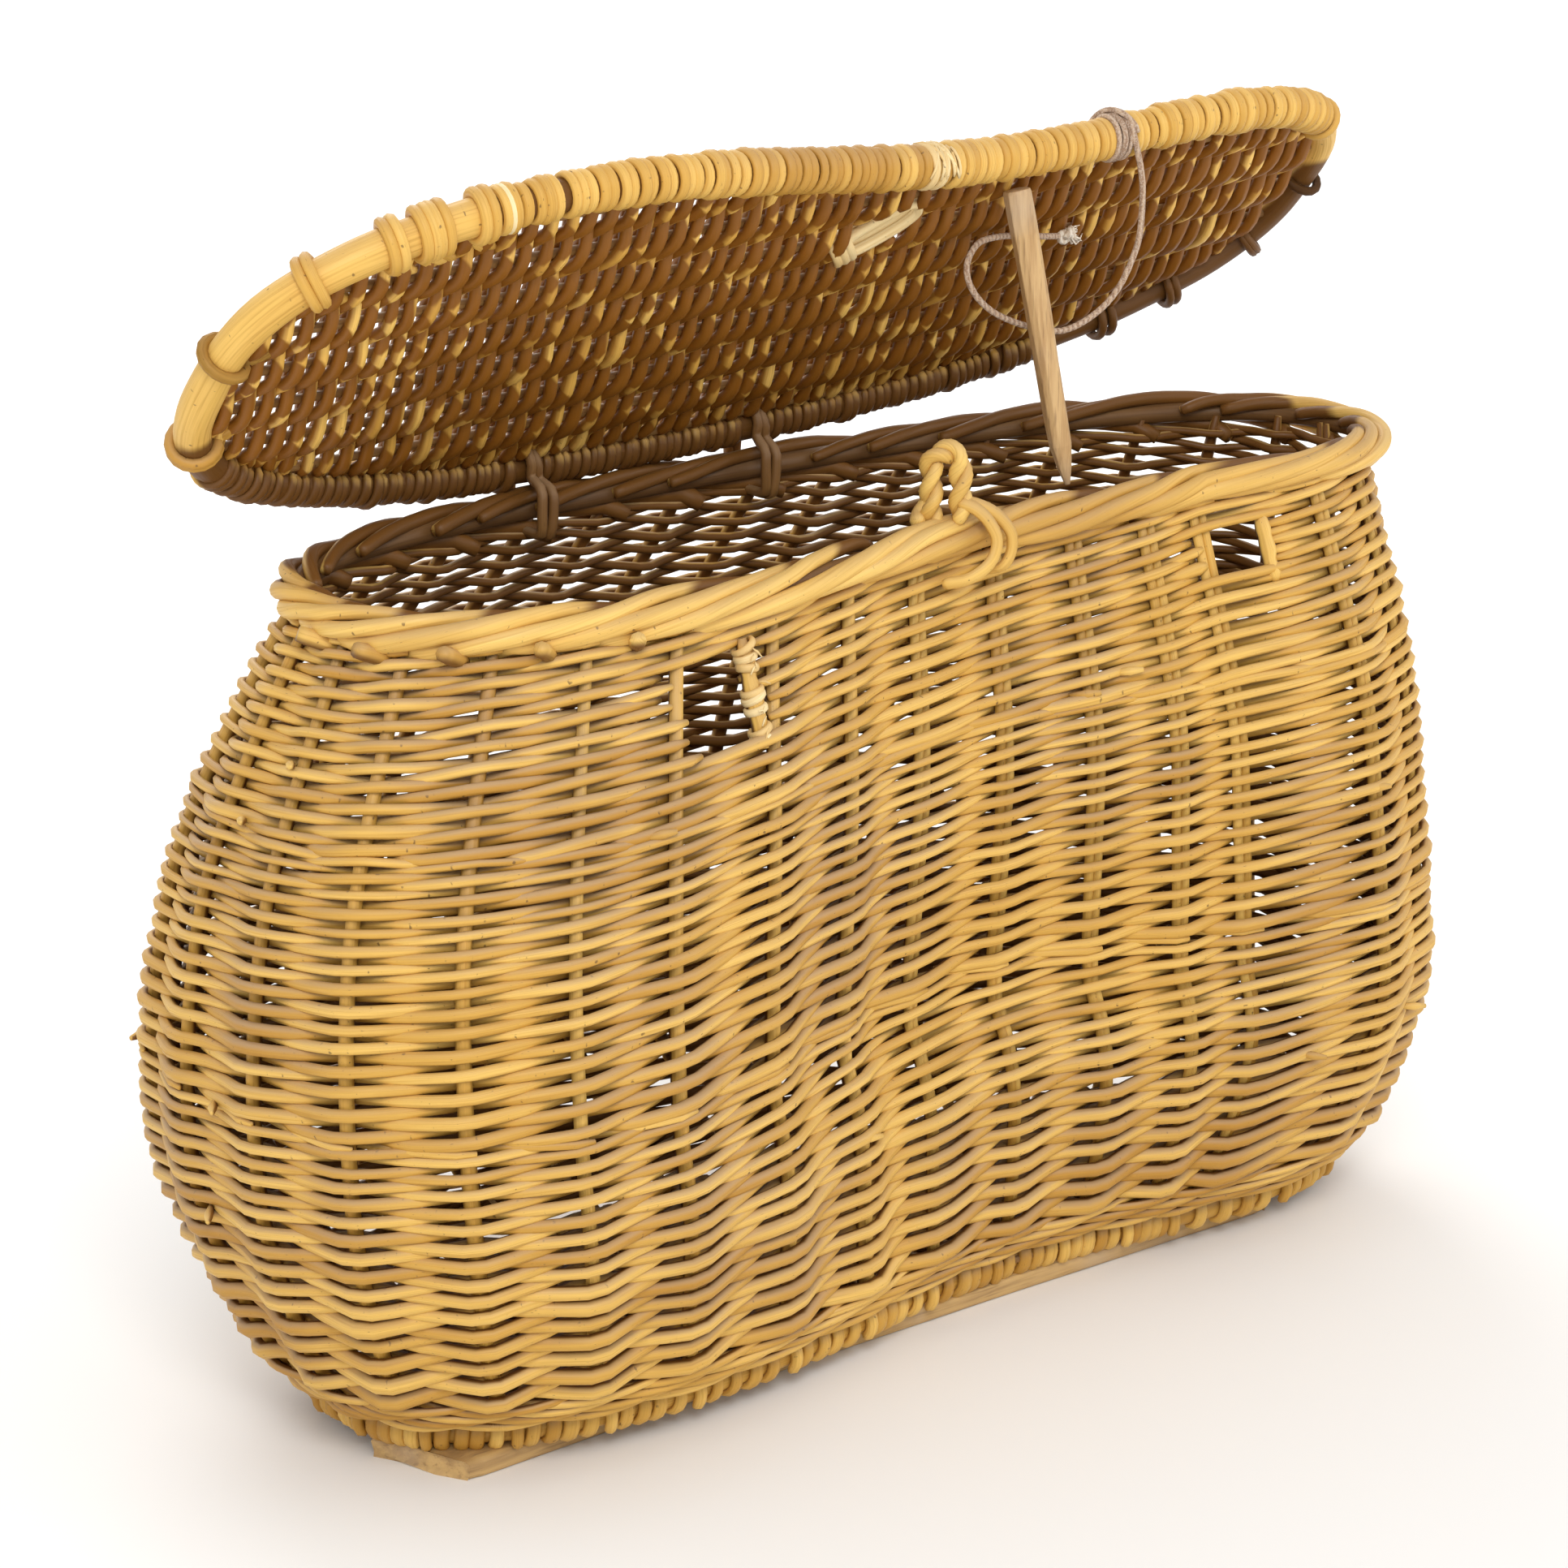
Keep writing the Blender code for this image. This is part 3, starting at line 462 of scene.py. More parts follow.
def willow(name, pale, mid, deep, inside, dust_and_sheen=0.35, inner=(-0.5, 0.2)):
    """Peeled willow: tones differ rod to rod; upward faces carry dust and a painted sheen. Faces whose
    painted_shade_facing falls below inner's range take the inside colour, a painted shade with some ageing.
    """
    n = Nodes(name)
    tone, painted_shade_facing, grain = n.attribute("tone"), n.attribute("painted_shade_facing"), n.attribute("grain", "Vector")
    world = n.own_place()
    streak = n.noise(n.scaled(grain, (22.0, 900.0, 1.0)), 1.0, 3.0)
    blotch = n.noise(n.scaled(grain, (30.0, 60.0, 1.0)), 1.0, 2.0)
    broad = n.noise(world, 9.0, 2.0)
    patch = n.maths("SUBTRACT", blotch, 0.5)
    light = n.span(n.maths("ADD", tone, n.maths("MULTIPLY", patch, 0.9)), 0.15, 0.95)
    colour = n.mix(light, mid, pale)
    colour = n.mix(n.span(n.maths("SUBTRACT", broad, n.maths("MULTIPLY", tone, 0.25)), 0.35, 0.62, 0.0, 0.75),
                   colour, deep)
    colour = n.mix(n.span(streak, 0.42, 0.75, 0.0, 0.55), colour, deep)
    speck = n.noise(n.scaled(grain, (420.0, 300.0, 1.0)), 1.0, 1.0)
    colour = n.mix(n.span(speck, 0.70, 0.78, 0.0, 0.7), colour, (0.10, 0.05, 0.02))
    # Dust and painted sheen: upward-facing surfaces turn grey-beige, partly real dust and partly a painted
    # sheen.
    up = n.put("ShaderNodeSeparateXYZ", Vector=n.put("ShaderNodeNewGeometry").outputs["Normal"]).outputs["Z"]
    dust_and_sheen_mask = n.maths("MULTIPLY", n.span(up, 0.0, 0.9), n.span(broad, 0.36, 0.58, 0.35, 1.0))
    colour = n.mix(n.maths("MULTIPLY", dust_and_sheen_mask, dust_and_sheen), colour, (0.42, 0.29, 0.175))
    # Painted shade: faces turned away by painted_shade_facing take the inside colour, a painted shade with
    # some ageing.
    turned = n.maths("ADD", painted_shade_facing, n.maths("MULTIPLY", patch, 0.8))
    colour = n.mix(n.span(turned, *inner, 1.0, 0.0), colour, inside)
    rough = n.span(streak, 0.3, 0.8, 0.42, 0.66)
    bump = n.maths("ADD", n.maths("MULTIPLY", streak, 0.6), n.maths("MULTIPLY", blotch, 0.8))
    n.shader.inputs["Specular IOR Level"].default_value = 0.3
    return n.finish(colour, rough, bump, 0.35, 0.0006)


def plain_wood(name, pale, deep, scale):
    """Bare wood: long grain along X and Z, fine fibres, greyed patches."""
    n = Nodes(name)
    world = n.own_place()
    rings = n.noise(n.scaled(world, scale), 1.0, 4.0, 0.6)
    fine = n.noise(n.scaled(world, tuple(3.5 * v for v in scale)), 1.0, 2.0)
    colour = n.mix(n.span(rings, 0.35, 0.68), pale, deep)
    colour = n.mix(n.span(fine, 0.55, 0.75, 0.0, 0.5), colour, (0.18, 0.10, 0.05))
    grey = n.noise(world, 24.0, 2.0)
    colour = n.mix(n.span(grey, 0.5, 0.7, 0.0, 0.35), colour, (0.46, 0.38, 0.30))
    return n.finish(colour, n.span(fine, 0.3, 0.7, 0.5, 0.75), n.maths("ADD", rings, fine), 0.5, 0.0005)


def twine_look(name, pale, deep):
    """Dusty hemp: two plies wound round each other, with fibres."""
    n = Nodes(name)
    world = n.own_place()
    plies = n.put("ShaderNodeTexWave", Vector=n.scaled(world, (1.0, 0.6, 1.4)), Scale=140.0, Distortion=1.5,
                  Detail=1.0, Detail_Scale=3.0).outputs["Fac"]
    fuzz = n.noise(world, 1400.0, 3.0)
    colour = n.mix(n.span(plies, 0.2, 0.8), deep, pale)
    colour = n.mix(n.span(fuzz, 0.4, 0.7, 0.0, 0.5), colour, (0.70, 0.60, 0.50))
    return n.finish(colour, n.span(fuzz, 0.3, 0.7, 0.8, 0.98), n.maths("ADD", plies, fuzz), 0.7, 0.0006)


# Each willow's fourth colour is its inside colour: a painted shade, with some ageing, for faces turned away.
OUTSIDE = willow("willow_outside", (0.760, 0.478, 0.116), (0.620, 0.351, 0.065), (0.420, 0.200, 0.026),
                 (0.150, 0.060, 0.010), dust_and_sheen=0.75, inner=(-0.45, 0.15))
BORDER_LOOK = willow("willow_border", (0.800, 0.526, 0.146), (0.680, 0.409, 0.095), (0.480, 0.254, 0.047),
                     (0.160, 0.066, 0.012), dust_and_sheen=0.45, inner=(-0.9, 0.1))
LID_UNDER = willow("willow_lid", (0.860, 0.546, 0.138), (0.720, 0.409, 0.077), (0.500, 0.244, 0.039),
                   (0.250, 0.092, 0.008), dust_and_sheen=0.2, inner=(0.15, 0.85))
LID_EDGE = willow("willow_lid_edge", (0.740, 0.458, 0.112), (0.620, 0.351, 0.069), (0.420, 0.205, 0.030),
                  (0.140, 0.057, 0.010), dust_and_sheen=0.3, inner=(-0.7, 0.1))
AGED = willow("willow_aged", (0.33, 0.18, 0.06), (0.24, 0.12, 0.035), (0.14, 0.06, 0.015),
              (0.10, 0.045, 0.012), dust_and_sheen=0.4, inner=(-2.0, -1.5))
TORN = willow("willow_torn", (0.84, 0.68, 0.38), (0.76, 0.53, 0.22), (0.60, 0.38, 0.13),
              (0.50, 0.32, 0.14), dust_and_sheen=0.2, inner=(-2.0, -1.5))
# Near-black willow for the border's core, a painted shade for the hollow seen between the border's strands.
PAINTED_SHADE_CORE = willow("willow_core", (0.20, 0.10, 0.03), (0.14, 0.065, 0.02), (0.08, 0.035, 0.012),
                   (0.08, 0.035, 0.012), dust_and_sheen=0.1, inner=(-2.0, -1.5))
PEG_WOOD = plain_wood("peg_wood", (0.56, 0.36, 0.16), (0.40, 0.23, 0.09), (260.0, 260.0, 14.0))
RUNNER_WOOD = plain_wood("runner_wood", (0.56, 0.36, 0.14), (0.38, 0.23, 0.09), (9.0, 120.0, 160.0))
TWINE_LOOK = twine_look("twine_look", (0.48, 0.33, 0.22), (0.30, 0.18, 0.11))
KNOT_LOOK = twine_look("knot_look", (0.84, 0.76, 0.64), (0.60, 0.48, 0.36))


# --- camera, light, floor ---
VIEW_FOCAL = 2.860808                           # focal length and shifts as parts of the image's width
VIEW_SHIFT = (-0.0570083, 0.0394410)
LIGHT_AIM_Z = 0.22
FLOOR_HALF = 30.0
SKY_LIGHT = 0.85
SKY_SEEN = 1.05                                 # the sky looks as white as the floor but lights less


def make_camera():
    """The camera, 39 degrees round to the left of the front and 17 degrees above."""
    round_, above, distance, aim_z = 0.6812, 0.3015, 1.9646, 0.2
    level = math.cos(above)
    ahead = np.array((math.sin(round_) * level, math.cos(round_) * level, -math.sin(above)))
    right = np.array((math.cos(round_), -math.sin(round_), 0.0))
    up = np.cross(right, ahead)
    place = -ahead * distance + aim_z * UP + SHIFT
    lens = bpy.data.cameras.new("camera")
    lens.sensor_width = 36.0
    lens.lens = 36.0 * VIEW_FOCAL
    lens.shift_x, lens.shift_y = VIEW_SHIFT
    camera = add_object("camera", lens)
    camera.matrix_world = Matrix([[right[i], up[i], -ahead[i], place[i]] for i in range(3)] + [[0, 0, 0, 1]])
    bpy.context.scene.camera = camera


def make_light(name, place, size, power, colour=(1, 1, 1)):
    lamp = bpy.data.lights.new(name, "AREA")
    lamp.size = size
    lamp.energy = power
    lamp.color = colour
    made = add_object(name, lamp)
    made.location = place
    made.rotation_euler = (Vector((0, 0, LIGHT_AIM_Z)) - Vector(place)).to_track_quat("-Z", "Y").to_euler()


def make_stage():
    n = Nodes("stage_floor")
    world = n.own_place()
    colour = n.mix(n.noise(world, 0.7, 1.0), (0.86, 0.86, 0.86), (0.88, 0.88, 0.88))
    mat = n.finish(colour, n.span(n.noise(world, 3.0), 0.3, 0.7, 0.85, 0.9))
    away = n.put("ShaderNodeVectorMath", _0=world)             # far off, the floor glows a little
    away.operation = "LENGTH"
    n.shader.inputs["Emission Color"].default_value = (1.0, 1.0, 1.0, 1.0)
    n.tree.links.new(n.span(away.outputs["Value"], 0.5, 3.0, 0.0, 0.35), n.shader.inputs["Emission Strength"])
    mesh = bpy.data.meshes.new("floor")
    corners = [(x * FLOOR_HALF, y * FLOOR_HALF, 0) for x, y in ((-1, -1), (1, -1), (1, 1), (-1, 1))]
    mesh.from_pydata(corners, [], [(0, 1, 2, 3)])
    mesh.materials.append(mat)
    add_object("floor", mesh)
    sky = bpy.data.worlds.new("studio")
    sky.use_nodes = True
    sky.node_tree.nodes["Background"].inputs["Color"].default_value = (1.0, 1.0, 1.0, 1.0)
    seen = sky.node_tree.nodes.new("ShaderNodeLightPath")
    level = sky.node_tree.nodes.new("ShaderNodeMath")
    level.operation = "MULTIPLY_ADD"
    level.inputs[1].default_value, level.inputs[2].default_value = SKY_SEEN - SKY_LIGHT, SKY_LIGHT
    sky.node_tree.links.new(seen.outputs["Is Camera Ray"], level.inputs[0])
    sky.node_tree.links.new(level.outputs[0], sky.node_tree.nodes["Background"].inputs["Strength"])
    bpy.context.scene.world = sky
    bpy.context.scene.view_settings.view_transform = "Standard"
    make_light("key", (-1.5, -2.3, 2.3), 1.2, 50.0, (1.0, 0.985, 0.955))
    make_light("fill", (1.9, -1.4, 1.1), 1.6, 10.0)
    make_light("back", (0.6, 1.9, 1.9), 1.6, 24.0)


# --- wall ---
STAKE_R = (0.0036, 0.0029)      # at the foot and at the rim
CUT_TUCK = 0.0020               # a rod cut at a hand hole turns in by this
BACK_THINNER = 0.16             # the upper rods behind are this much thinner
HALF_STAKE_R = 0.0023           # each rod of a doubled stake
ROD_SPREAD = 0.07               # how much rods differ in thickness
BEND, BEND_POWER = 0.985, 1.2   # how sharply a rod bends at each stake
WALE_ROWS, WALE_RODS = 4, 3
WALE_Z, WALE_PITCH = 0.0146, 0.0037


def stake_radius(z):
    return np.interp(z, (0.0, RIM_Z), STAKE_R)


def set_height(level, foot, head, rows, r0, r1):
    """Height of a level of a set: the rows get closer as its rods thin."""
    q = np.clip(level / rows, 0, 1)
    return foot + (head - foot) * (r0 * q + (r1 - r0) * q * q / 2) / ((r0 + r1) / 2)


def in_hand_hole(x, y, z):
    found = np.zeros(len(x), bool)
    for at, foot, head, width in HAND_HOLES:
        found |= (abs(x - at) < width / 2 - 0.002) & (z > foot + 0.001) & (z < head + 0.001) & (y < 0)
    return found


def runs(keep):
    """Start and end of each run of three or more kept points."""
    edges = np.flatnonzero(np.diff(np.concatenate([[0], keep.astype(int), [0]])))
    return [(a, b) for a, b in zip(edges[::2], edges[1::2]) if b - a > 2]


def add_cut(rods, line, radius, out, tone, z):
    """Adds a rod, leaving out what crosses a hand hole; its cut ends turn in behind the stake."""
    for start, end in runs(~in_hand_hole(line[:, 0], line[:, 1], z)):
        part, r, o = line[start:end].copy(), radius[start:end], out[start:end]
        if end < len(line):
            part[-1] -= CUT_TUCK * o[-1]
        if start > 0:
            part[0] -= CUT_TUCK * o[0]
        rods.add(part, r, o, tone=tone)


def make_randing():
    """Three sets of rods. Each rod starts thick behind a stake and climbs thinning to the right."""
    for name, foot, head, rows, r0, r1 in SETS:
        rods = Rods()
        for j in range(STAKES):
            t = np.arange(-0.75 * SAMPLES, (2 * rows - 0.35) * SAMPLES) / SAMPLES
            level = np.clip(t / 2 + 0.5, 0.3, rows - 0.25)
            z = set_height(level, foot, head, rows, r0, r1) + wander(len(t), 0.00045, SAMPLES)
            part = np.clip(t / (2 * rows), 0, 1)
            radius = (r0 + (r1 - r0) * part) * DICE.normal(1.0, ROD_SPREAD)
            radius = radius * (1 + wander(len(t), 0.04, SAMPLES / 2))
            place, out = wall_at(j + t, z)
            behind = np.clip(place[:, 1] / 0.05, 0, 1) * np.clip((z - 0.18) / 0.06, 0, 1)
            radius = radius * (1 - BACK_THINNER * behind)
            swing = stake_radius(z) + 0.80 * radius
            wave = np.arcsin(BEND * np.cos(math.pi * t)) / math.asin(BEND)
            wave = np.sign(wave) * abs(wave) ** BEND_POWER         # nearly straight from stake to stake
            swing = swing * wave - STAKE_INSET + wander(len(t), 0.0003, SAMPLES)
            line = place + out * swing[:, None]
            add_cut(rods, line, radius, out, DICE.random(), z)
        nodes = (name + "_siding", "top_wale") if name == "upper" else (name + "_siding",)
        rods.make(name + "_randing", OUTSIDE, "basket", nodes, "willow")


def make_bottom_wale():
    """Rows of three rods each, every rod in front of two stakes and behind one."""
    rods = Rods()
    t = np.arange(STAKES * SAMPLES) / SAMPLES
    for row in range(WALE_ROWS):
        for rod in range(WALE_RODS):
            turn = 2 * math.pi * (t - rod - row * 1.3) / WALE_RODS
            turn = turn * (STAKES + 1) / STAKES            # a whole number of turns closes the ring
            z = WALE_Z + WALE_PITCH * row + 0.0012 * np.sin(turn + 0.9) + 0.0003 * np.sin(t * 5 + row)
            place, out = wall_at(t, z)
            swing = 0.0045 * np.cos(turn) + 0.0012
            line = place + out * (swing - STAKE_INSET)[:, None]
            rods.add(line, 0.0020 * (1 + 0.06 * np.sin(t * 3.1 + rod)), out, closed=True)
    rods.make("bottom_waling", OUTSIDE, "basket", ("bottom_wale",), "willow")


def make_stakes():
    """The stakes, doubled up the right of the front, their roots bent round the base hoop."""
    rods = Rods()
    top = BORDER_TOP - BORDER_TALL * 0.6
    for j in range(STAKES):
        z = np.linspace(0.012, top, 22)
        place, out = wall_at(j, z)
        line = place - STAKE_INSET * out
        tone = DICE.random()
        x = place[14, 0]
        if place[14, 1] < 0.02 and x > -0.05:
            along = unit(np.cross(out, UP))
            spread = np.interp(z, (0.10, 0.20), (0.0009, 0.0021))[:, None]
            for sign in (-1, 1):
                rods.add(line + along * spread * sign, HALF_STAKE_R, out, tone=DICE.random())
        else:
            rods.add(line, stake_radius(z) * DICE.normal(1, 0.05), out, tone=tone)
        hoop, flat = base_hoop_line([j])
        root = around(hoop, flat, np.radians(np.linspace(80, -60, 8)), HOOP_R + 0.0021)
        start = place[1] - STAKE_INSET * out[1]
        root = smooth(np.vstack([start, (start + root[1]) / 2 + flat[0] * 0.002, root[1:]]), 0.003)
        rods.add(root, np.linspace(0.0035, 0.0025, len(root)), flat[0], tone=tone, side=0.6)
    nodes = [f"stake_{i + 1:02d}" for i in range(STAKES)]
    rods.make("stakes", OUTSIDE, "basket", nodes, "willow_brown")


def hole_side(k):
    """A line up the right side of a hand hole, and outward directions."""
    x, foot, head, width = HAND_HOLES[k]
    z = np.linspace(foot - 0.004, head + 0.004, 10)
    columns = np.linspace(0, 11, 1200)
    line, outs = [], []
    for height in z:
        place, out = wall_at(columns, height)
        i = abs(place[:, 0] - x - width / 2 + 0.001).argmin()
        line.append(place[i] - (0.0030 if k == 0 else 0.0050) * out[i])
        outs.append(out[i])
    return np.array(line), np.array(outs)


def make_hand_hole_trim():
    """Thick rods up the holes' sides; the left hole's right one is bound with torn pale skeins."""
    trim, fray = Rods(), Rods()
    for k in range(2):
        line, out = hole_side(k)
        trim.add(line, 0.0034 * DICE.normal(1, 0.08, 10), out)
        if k == 1:
            continue
        for q in (0.10, 0.17, 0.36, 0.47, 0.52, 0.74, 0.83, 0.93):
            centre = line[0] + (line[-1] - line[0]) * q
            turn = np.radians(np.linspace(-20, 270, 14))
            tilt = DICE.normal(0, 0.22)
            ring = centre + np.stack([0.0040 * np.cos(turn), -0.0040 * np.sin(turn),
                                      0.0012 * np.sin(turn + 1) + 0.0048 * tilt * np.cos(turn)], axis=1)
            fray.add(ring, 0.0018, unit(ring - centre), flat=0.6, tone=DICE.random())
        for _ in range(9):
            start = line[0] + (line[-1] - line[0]) * DICE.random() + (0.001, -0.005, 0)
            way = np.array((DICE.normal(0.0, 0.003), -0.0015, DICE.normal(-0.001, 0.003)))
            fray.add([start, start + way * 0.5, start + way + (0, 0, -0.001)], 0.0005, (0, -1, 0), sides=5)
    trim.make("hand_hole_posts", OUTSIDE, "basket", ("hand_post_left", "hand_post_right"), "willow_pale")
    fray.make("hand_hole_wraps", TORN, "basket", (), "willow_pale")


STUBS_AT = (29.72, 30.68, 31.62, 0.55, 1.5)      # counted in stakes
TIP_HEIGHTS = (0.158, 0.272, 0.10, 0.21, 0.30)


def make_rod_ends():
    """Cut stubs under the border's left end and loose tips on the wall."""
    ends = Rods()
    for s in STUBS_AT:
        place, out = wall_at([s], BORDER_TOP - BORDER_DEEP + 0.0012)
        along = unit(np.cross(UP, out))
        way = unit(out * 0.9 - along * 0.5)
        line = place - way * 0.006 + way * np.linspace(0, 0.0165 + DICE.normal(0, 0.0006), 5)[:, None]
        ends.add(line, 0.0036, UP, blunt=0.9)
    for _ in range(26):
        s = DICE.random() * STAKES
        z = DICE.choice(TIP_HEIGHTS) + DICE.normal(0, 0.004)
        place, out = wall_at([s], z)
        along = unit(np.cross(UP, out))
        line = place + out * np.array((-0.004, 0.0010, 0.0042))[:, None]
        line = line + along * np.array((0, 0.006, 0.011))[:, None]
        if not in_hand_hole(line[:, 0] + 0.004, line[:, 1], line[:, 2]).any():
            ends.add(line, (0.0021, 0.0020, 0.0018), out, tone=DICE.random())
    ends.make("rod_ends", BORDER_LOOK, "basket", (), "willow")


# --- border ---
BORDER_POINTS = 34
BORDER_SIDES = 10
BORDER_REACH = 3.75             # stake spaces a bent-down stake runs along the rim
BORDER_ROD_R = (0.0038, 0.0038, 0.0028)          # at its foot, a quarter along and at its tip
BORDER_CORE_R = 0.0046


def border_line(s):
    place, out = wall_at(s, BORDER_TOP)
    flat = unit(out * (1, 1, 0))
    line = place + flat * BORDER_OUT
    line[:, 2] = place[:, 2] - BORDER_DEEP / 2
    return line, flat


def make_border():
    """Each stake bends down to the right and lies along the rim, from its outer foot over to its inside."""
    rods = Rods()
    ring = 2 * math.pi * np.arange(BORDER_SIDES) / BORDER_SIDES
    part = np.linspace(0, 1, BORDER_POINTS)
    for j in range(STAKES):
        length = DICE.normal(BORDER_REACH, 0.2)
        s = np.linspace(j - 0.15, j + length, BORDER_POINTS)
        line, flat = border_line(s)
        turn = np.radians(-100 + 262 * part ** 0.95)
        r = np.interp(part, (0, 0.25, 1), BORDER_ROD_R) * DICE.normal(1, 0.05)
        bumpy = wander(BORDER_POINTS, 0.0007, 8) + DICE.normal(0, 0.0004)
        wide, tall = BORDER_WIDE / 2 - r + 0.0002 + bumpy, BORDER_DEEP / 2 - r + bumpy
        line = line + flat * (wide * np.cos(turn))[:, None] + UP * (tall * np.sin(turn))[:, None]
        drop = np.clip(1 - part / 0.05, 0, 1)
        line = line - UP * (0.005 * drop)[:, None] - flat * (0.004 * drop)[:, None]
        line = line + UP * wander(BORDER_POINTS, 0.0004, 6)[:, None]
        away = unit(flat * np.cos(turn)[:, None] + UP * np.sin(turn)[:, None])
        # Painted shade: the rod is painted in its shade colour where it dips under the border and on the
        # border's inner face, and along the back the faces turned into the basket are painted shaded.
        side = np.interp(np.degrees(turn), (-100, -80, 88, 125), (-1.2, 1.2, 1.2, -1.2))
        outward = np.cos(turn[:, None] - ring)                 # how far each face looks out of the basket
        back = np.clip((line[:, 1] - 0.012) / 0.03, 0, 1)[:, None]
        side = (1 - back) * (side[:, None] + 0.35 * np.cos(ring)) + back * (1.7 * outward - 1.0)
        rods.add(line, r, away, sides=BORDER_SIDES, side=side, blunt=0.85)
    rods.make("border_rods", BORDER_LOOK, "basket", ("border",), "willow")
    # The dark core fills the border's hollow: painted shade seen through the gaps between the strands.
    core = Rods()
    line, flat = border_line(np.arange(STAKES * 6) / 6)
    core.add(line, BORDER_CORE_R, flat, flat=1.1, closed=True, tone=0.4)
    core.make("border_core", PAINTED_SHADE_CORE, "basket", (), "willow")


# --- base ---
RUNNER_DEEP = 0.048


def base_hoop_line(s):
    place, out = wall_at(s, 0.001)
    flat = unit(out * (1, 1, 0))
    line = place - flat * 0.003
    line[:, 2] = HOOP_R
    return line, flat


def make_base():
    hoop, wraps = Rods(), Rods()
    s = np.arange(STAKES * 8) / 8
    line, flat = base_hoop_line(s)
    hoop.add(line, HOOP_R - 0.0003, flat, sides=12, closed=True, tone=0.4, side=0.4)
    hoop.make("base_hoop_rod", OUTSIDE, "basket", ("base_hoop",), "willow")
    turn = np.radians(np.linspace(-115, 150, 12))
    for j in range(STAKES):
        for q in np.linspace(0.2, 0.8, 4):
            centre, away = base_hoop_line([j + q + DICE.normal(0, 0.012)])
            ring = around(centre, away, turn, HOOP_R + 0.0011)
            ring = ring + np.cross(UP, away) * (0.0009 * np.sin(turn))[:, None]
            tone = DICE.random() * 0.9
            thick = 0.0034 * DICE.normal(1, 0.08)
            wraps.add(ring, thick, unit(ring - centre), flat=0.62, tone=tone, side=0.5)
    wraps.make("base_hoop_wraps", OUTSIDE, "basket", (), "willow")
    make_base_weave()
    for side in ("front", "rear"):
        make_runner(side)


def make_base_weave():
    panel, ribs = Rods(), Rods()
    ring, _ = base_hoop_line(np.arange(0, STAKES, 0.125))
    edge = outline_edges(ring)
    woven_panel(panel, ribs, edge, span=(-0.25, 0.26), rib_ys=np.arange(-0.07, 0.11, 0.026), pitch=0.0050,
                r=0.0020, rib_r=0.0017, inset=0.006, height=lambda x: np.full(np.shape(x), 0.0065))
    panel.make("base_weavers", OUTSIDE, "basket", ("base_weave",), "willow_brown")
    ribs.make("base_sticks", AGED, "basket", ("base_rib_1", "base_rib_2"), "willow_brown")


def make_runner(side):
    """A split wooden strip with waney edges and a worn end."""
    low, high = np.array(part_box("runner_" + side))
    turn, skew = (math.radians(1.1), 0.40) if side == "front" else (0.0, 0.0)
    middle, size = (low + high) / 2, high - low
    long = size[0] - (0.004 if side == "front" else 0.0)
    nx, verts, faces = 60, [], []
    section = [(-0.5, -0.30), (-0.485, -0.47), (-0.2, -0.5), (0.2, -0.5), (0.485, -0.47), (0.5, -0.25),
               (0.5, 0.30), (0.475, 0.46), (0.2, 0.5), (-0.15, 0.495), (-0.46, 0.42), (-0.5, 0.25)]
    for i in range(nx + 1):
        q = i / nx
        ends = min(1.0, (q * long / 0.010 + 0.08) ** 0.5, ((1 - q) * long / 0.010 + 0.08) ** 0.5)
        for k, (a, b) in enumerate(section):
            y = a * RUNNER_DEEP * (0.90 + 0.10 * ends) + 0.0007 * math.sin(31 * q + k) * (b > -0.4)
            y += 0.0035 * math.sin(math.pi * q) if side == "front" else 0.0
            z = b * size[2] * (0.55 + 0.45 * ends if b > 0 else 1.0)
            x = (q - 0.5) * long - skew * (a + 0.15) * RUNNER_DEEP * (1 - q) ** 6
            x += 0.002 * math.sin(5 * a) * (1 - q) ** 20
            verts.append((x * math.cos(turn) - y * math.sin(turn) + middle[0],
                          x * math.sin(turn) + y * math.cos(turn) + middle[1], max(z + middle[2], 0.0)))
    m = len(section)
    for i in range(nx):
        faces += ring_quads(i, m)
    faces += [tuple(range(m)), tuple(range((nx + 1) * m - 1, nx * m - 1, -1))]
    faces = [f[::-1] for f in faces]
    made = make_solid("strip_" + side, verts, faces, RUNNER_WOOD, "basket", "runner_" + side, 0.0012)
    made.data.shade_smooth()


# --- flat woven panels: lid and base ---
SHORTEST_ROD = 0.016
PANEL_STEP = 0.0043             # between a rod's points
PAINTED_LIGHT_FLECKS, PAINTED_FLECK_GOES_ON = 0.17, 0.6                # chances of a painted light fleck, light shining through the weave's gaps, and of one running on


def outline_edges(ring):
    """Functions giving the ring's front and back y at x."""
    left, right = ring[:, 0].argmin(), ring[:, 0].argmax()
    count = len(ring)
    halves = []
    for a, b in ((left, right), (right, left)):
        idx = (a + np.arange((b - a) % count + 1)) % count
        half = ring[idx]
        halves.append(half[half[:, 0].argsort()])
    halves.sort(key=lambda h: h[:, 1].mean())
    return [lambda x, h=h: np.interp(x, h[:, 0], h[:, 1]) for h in halves]


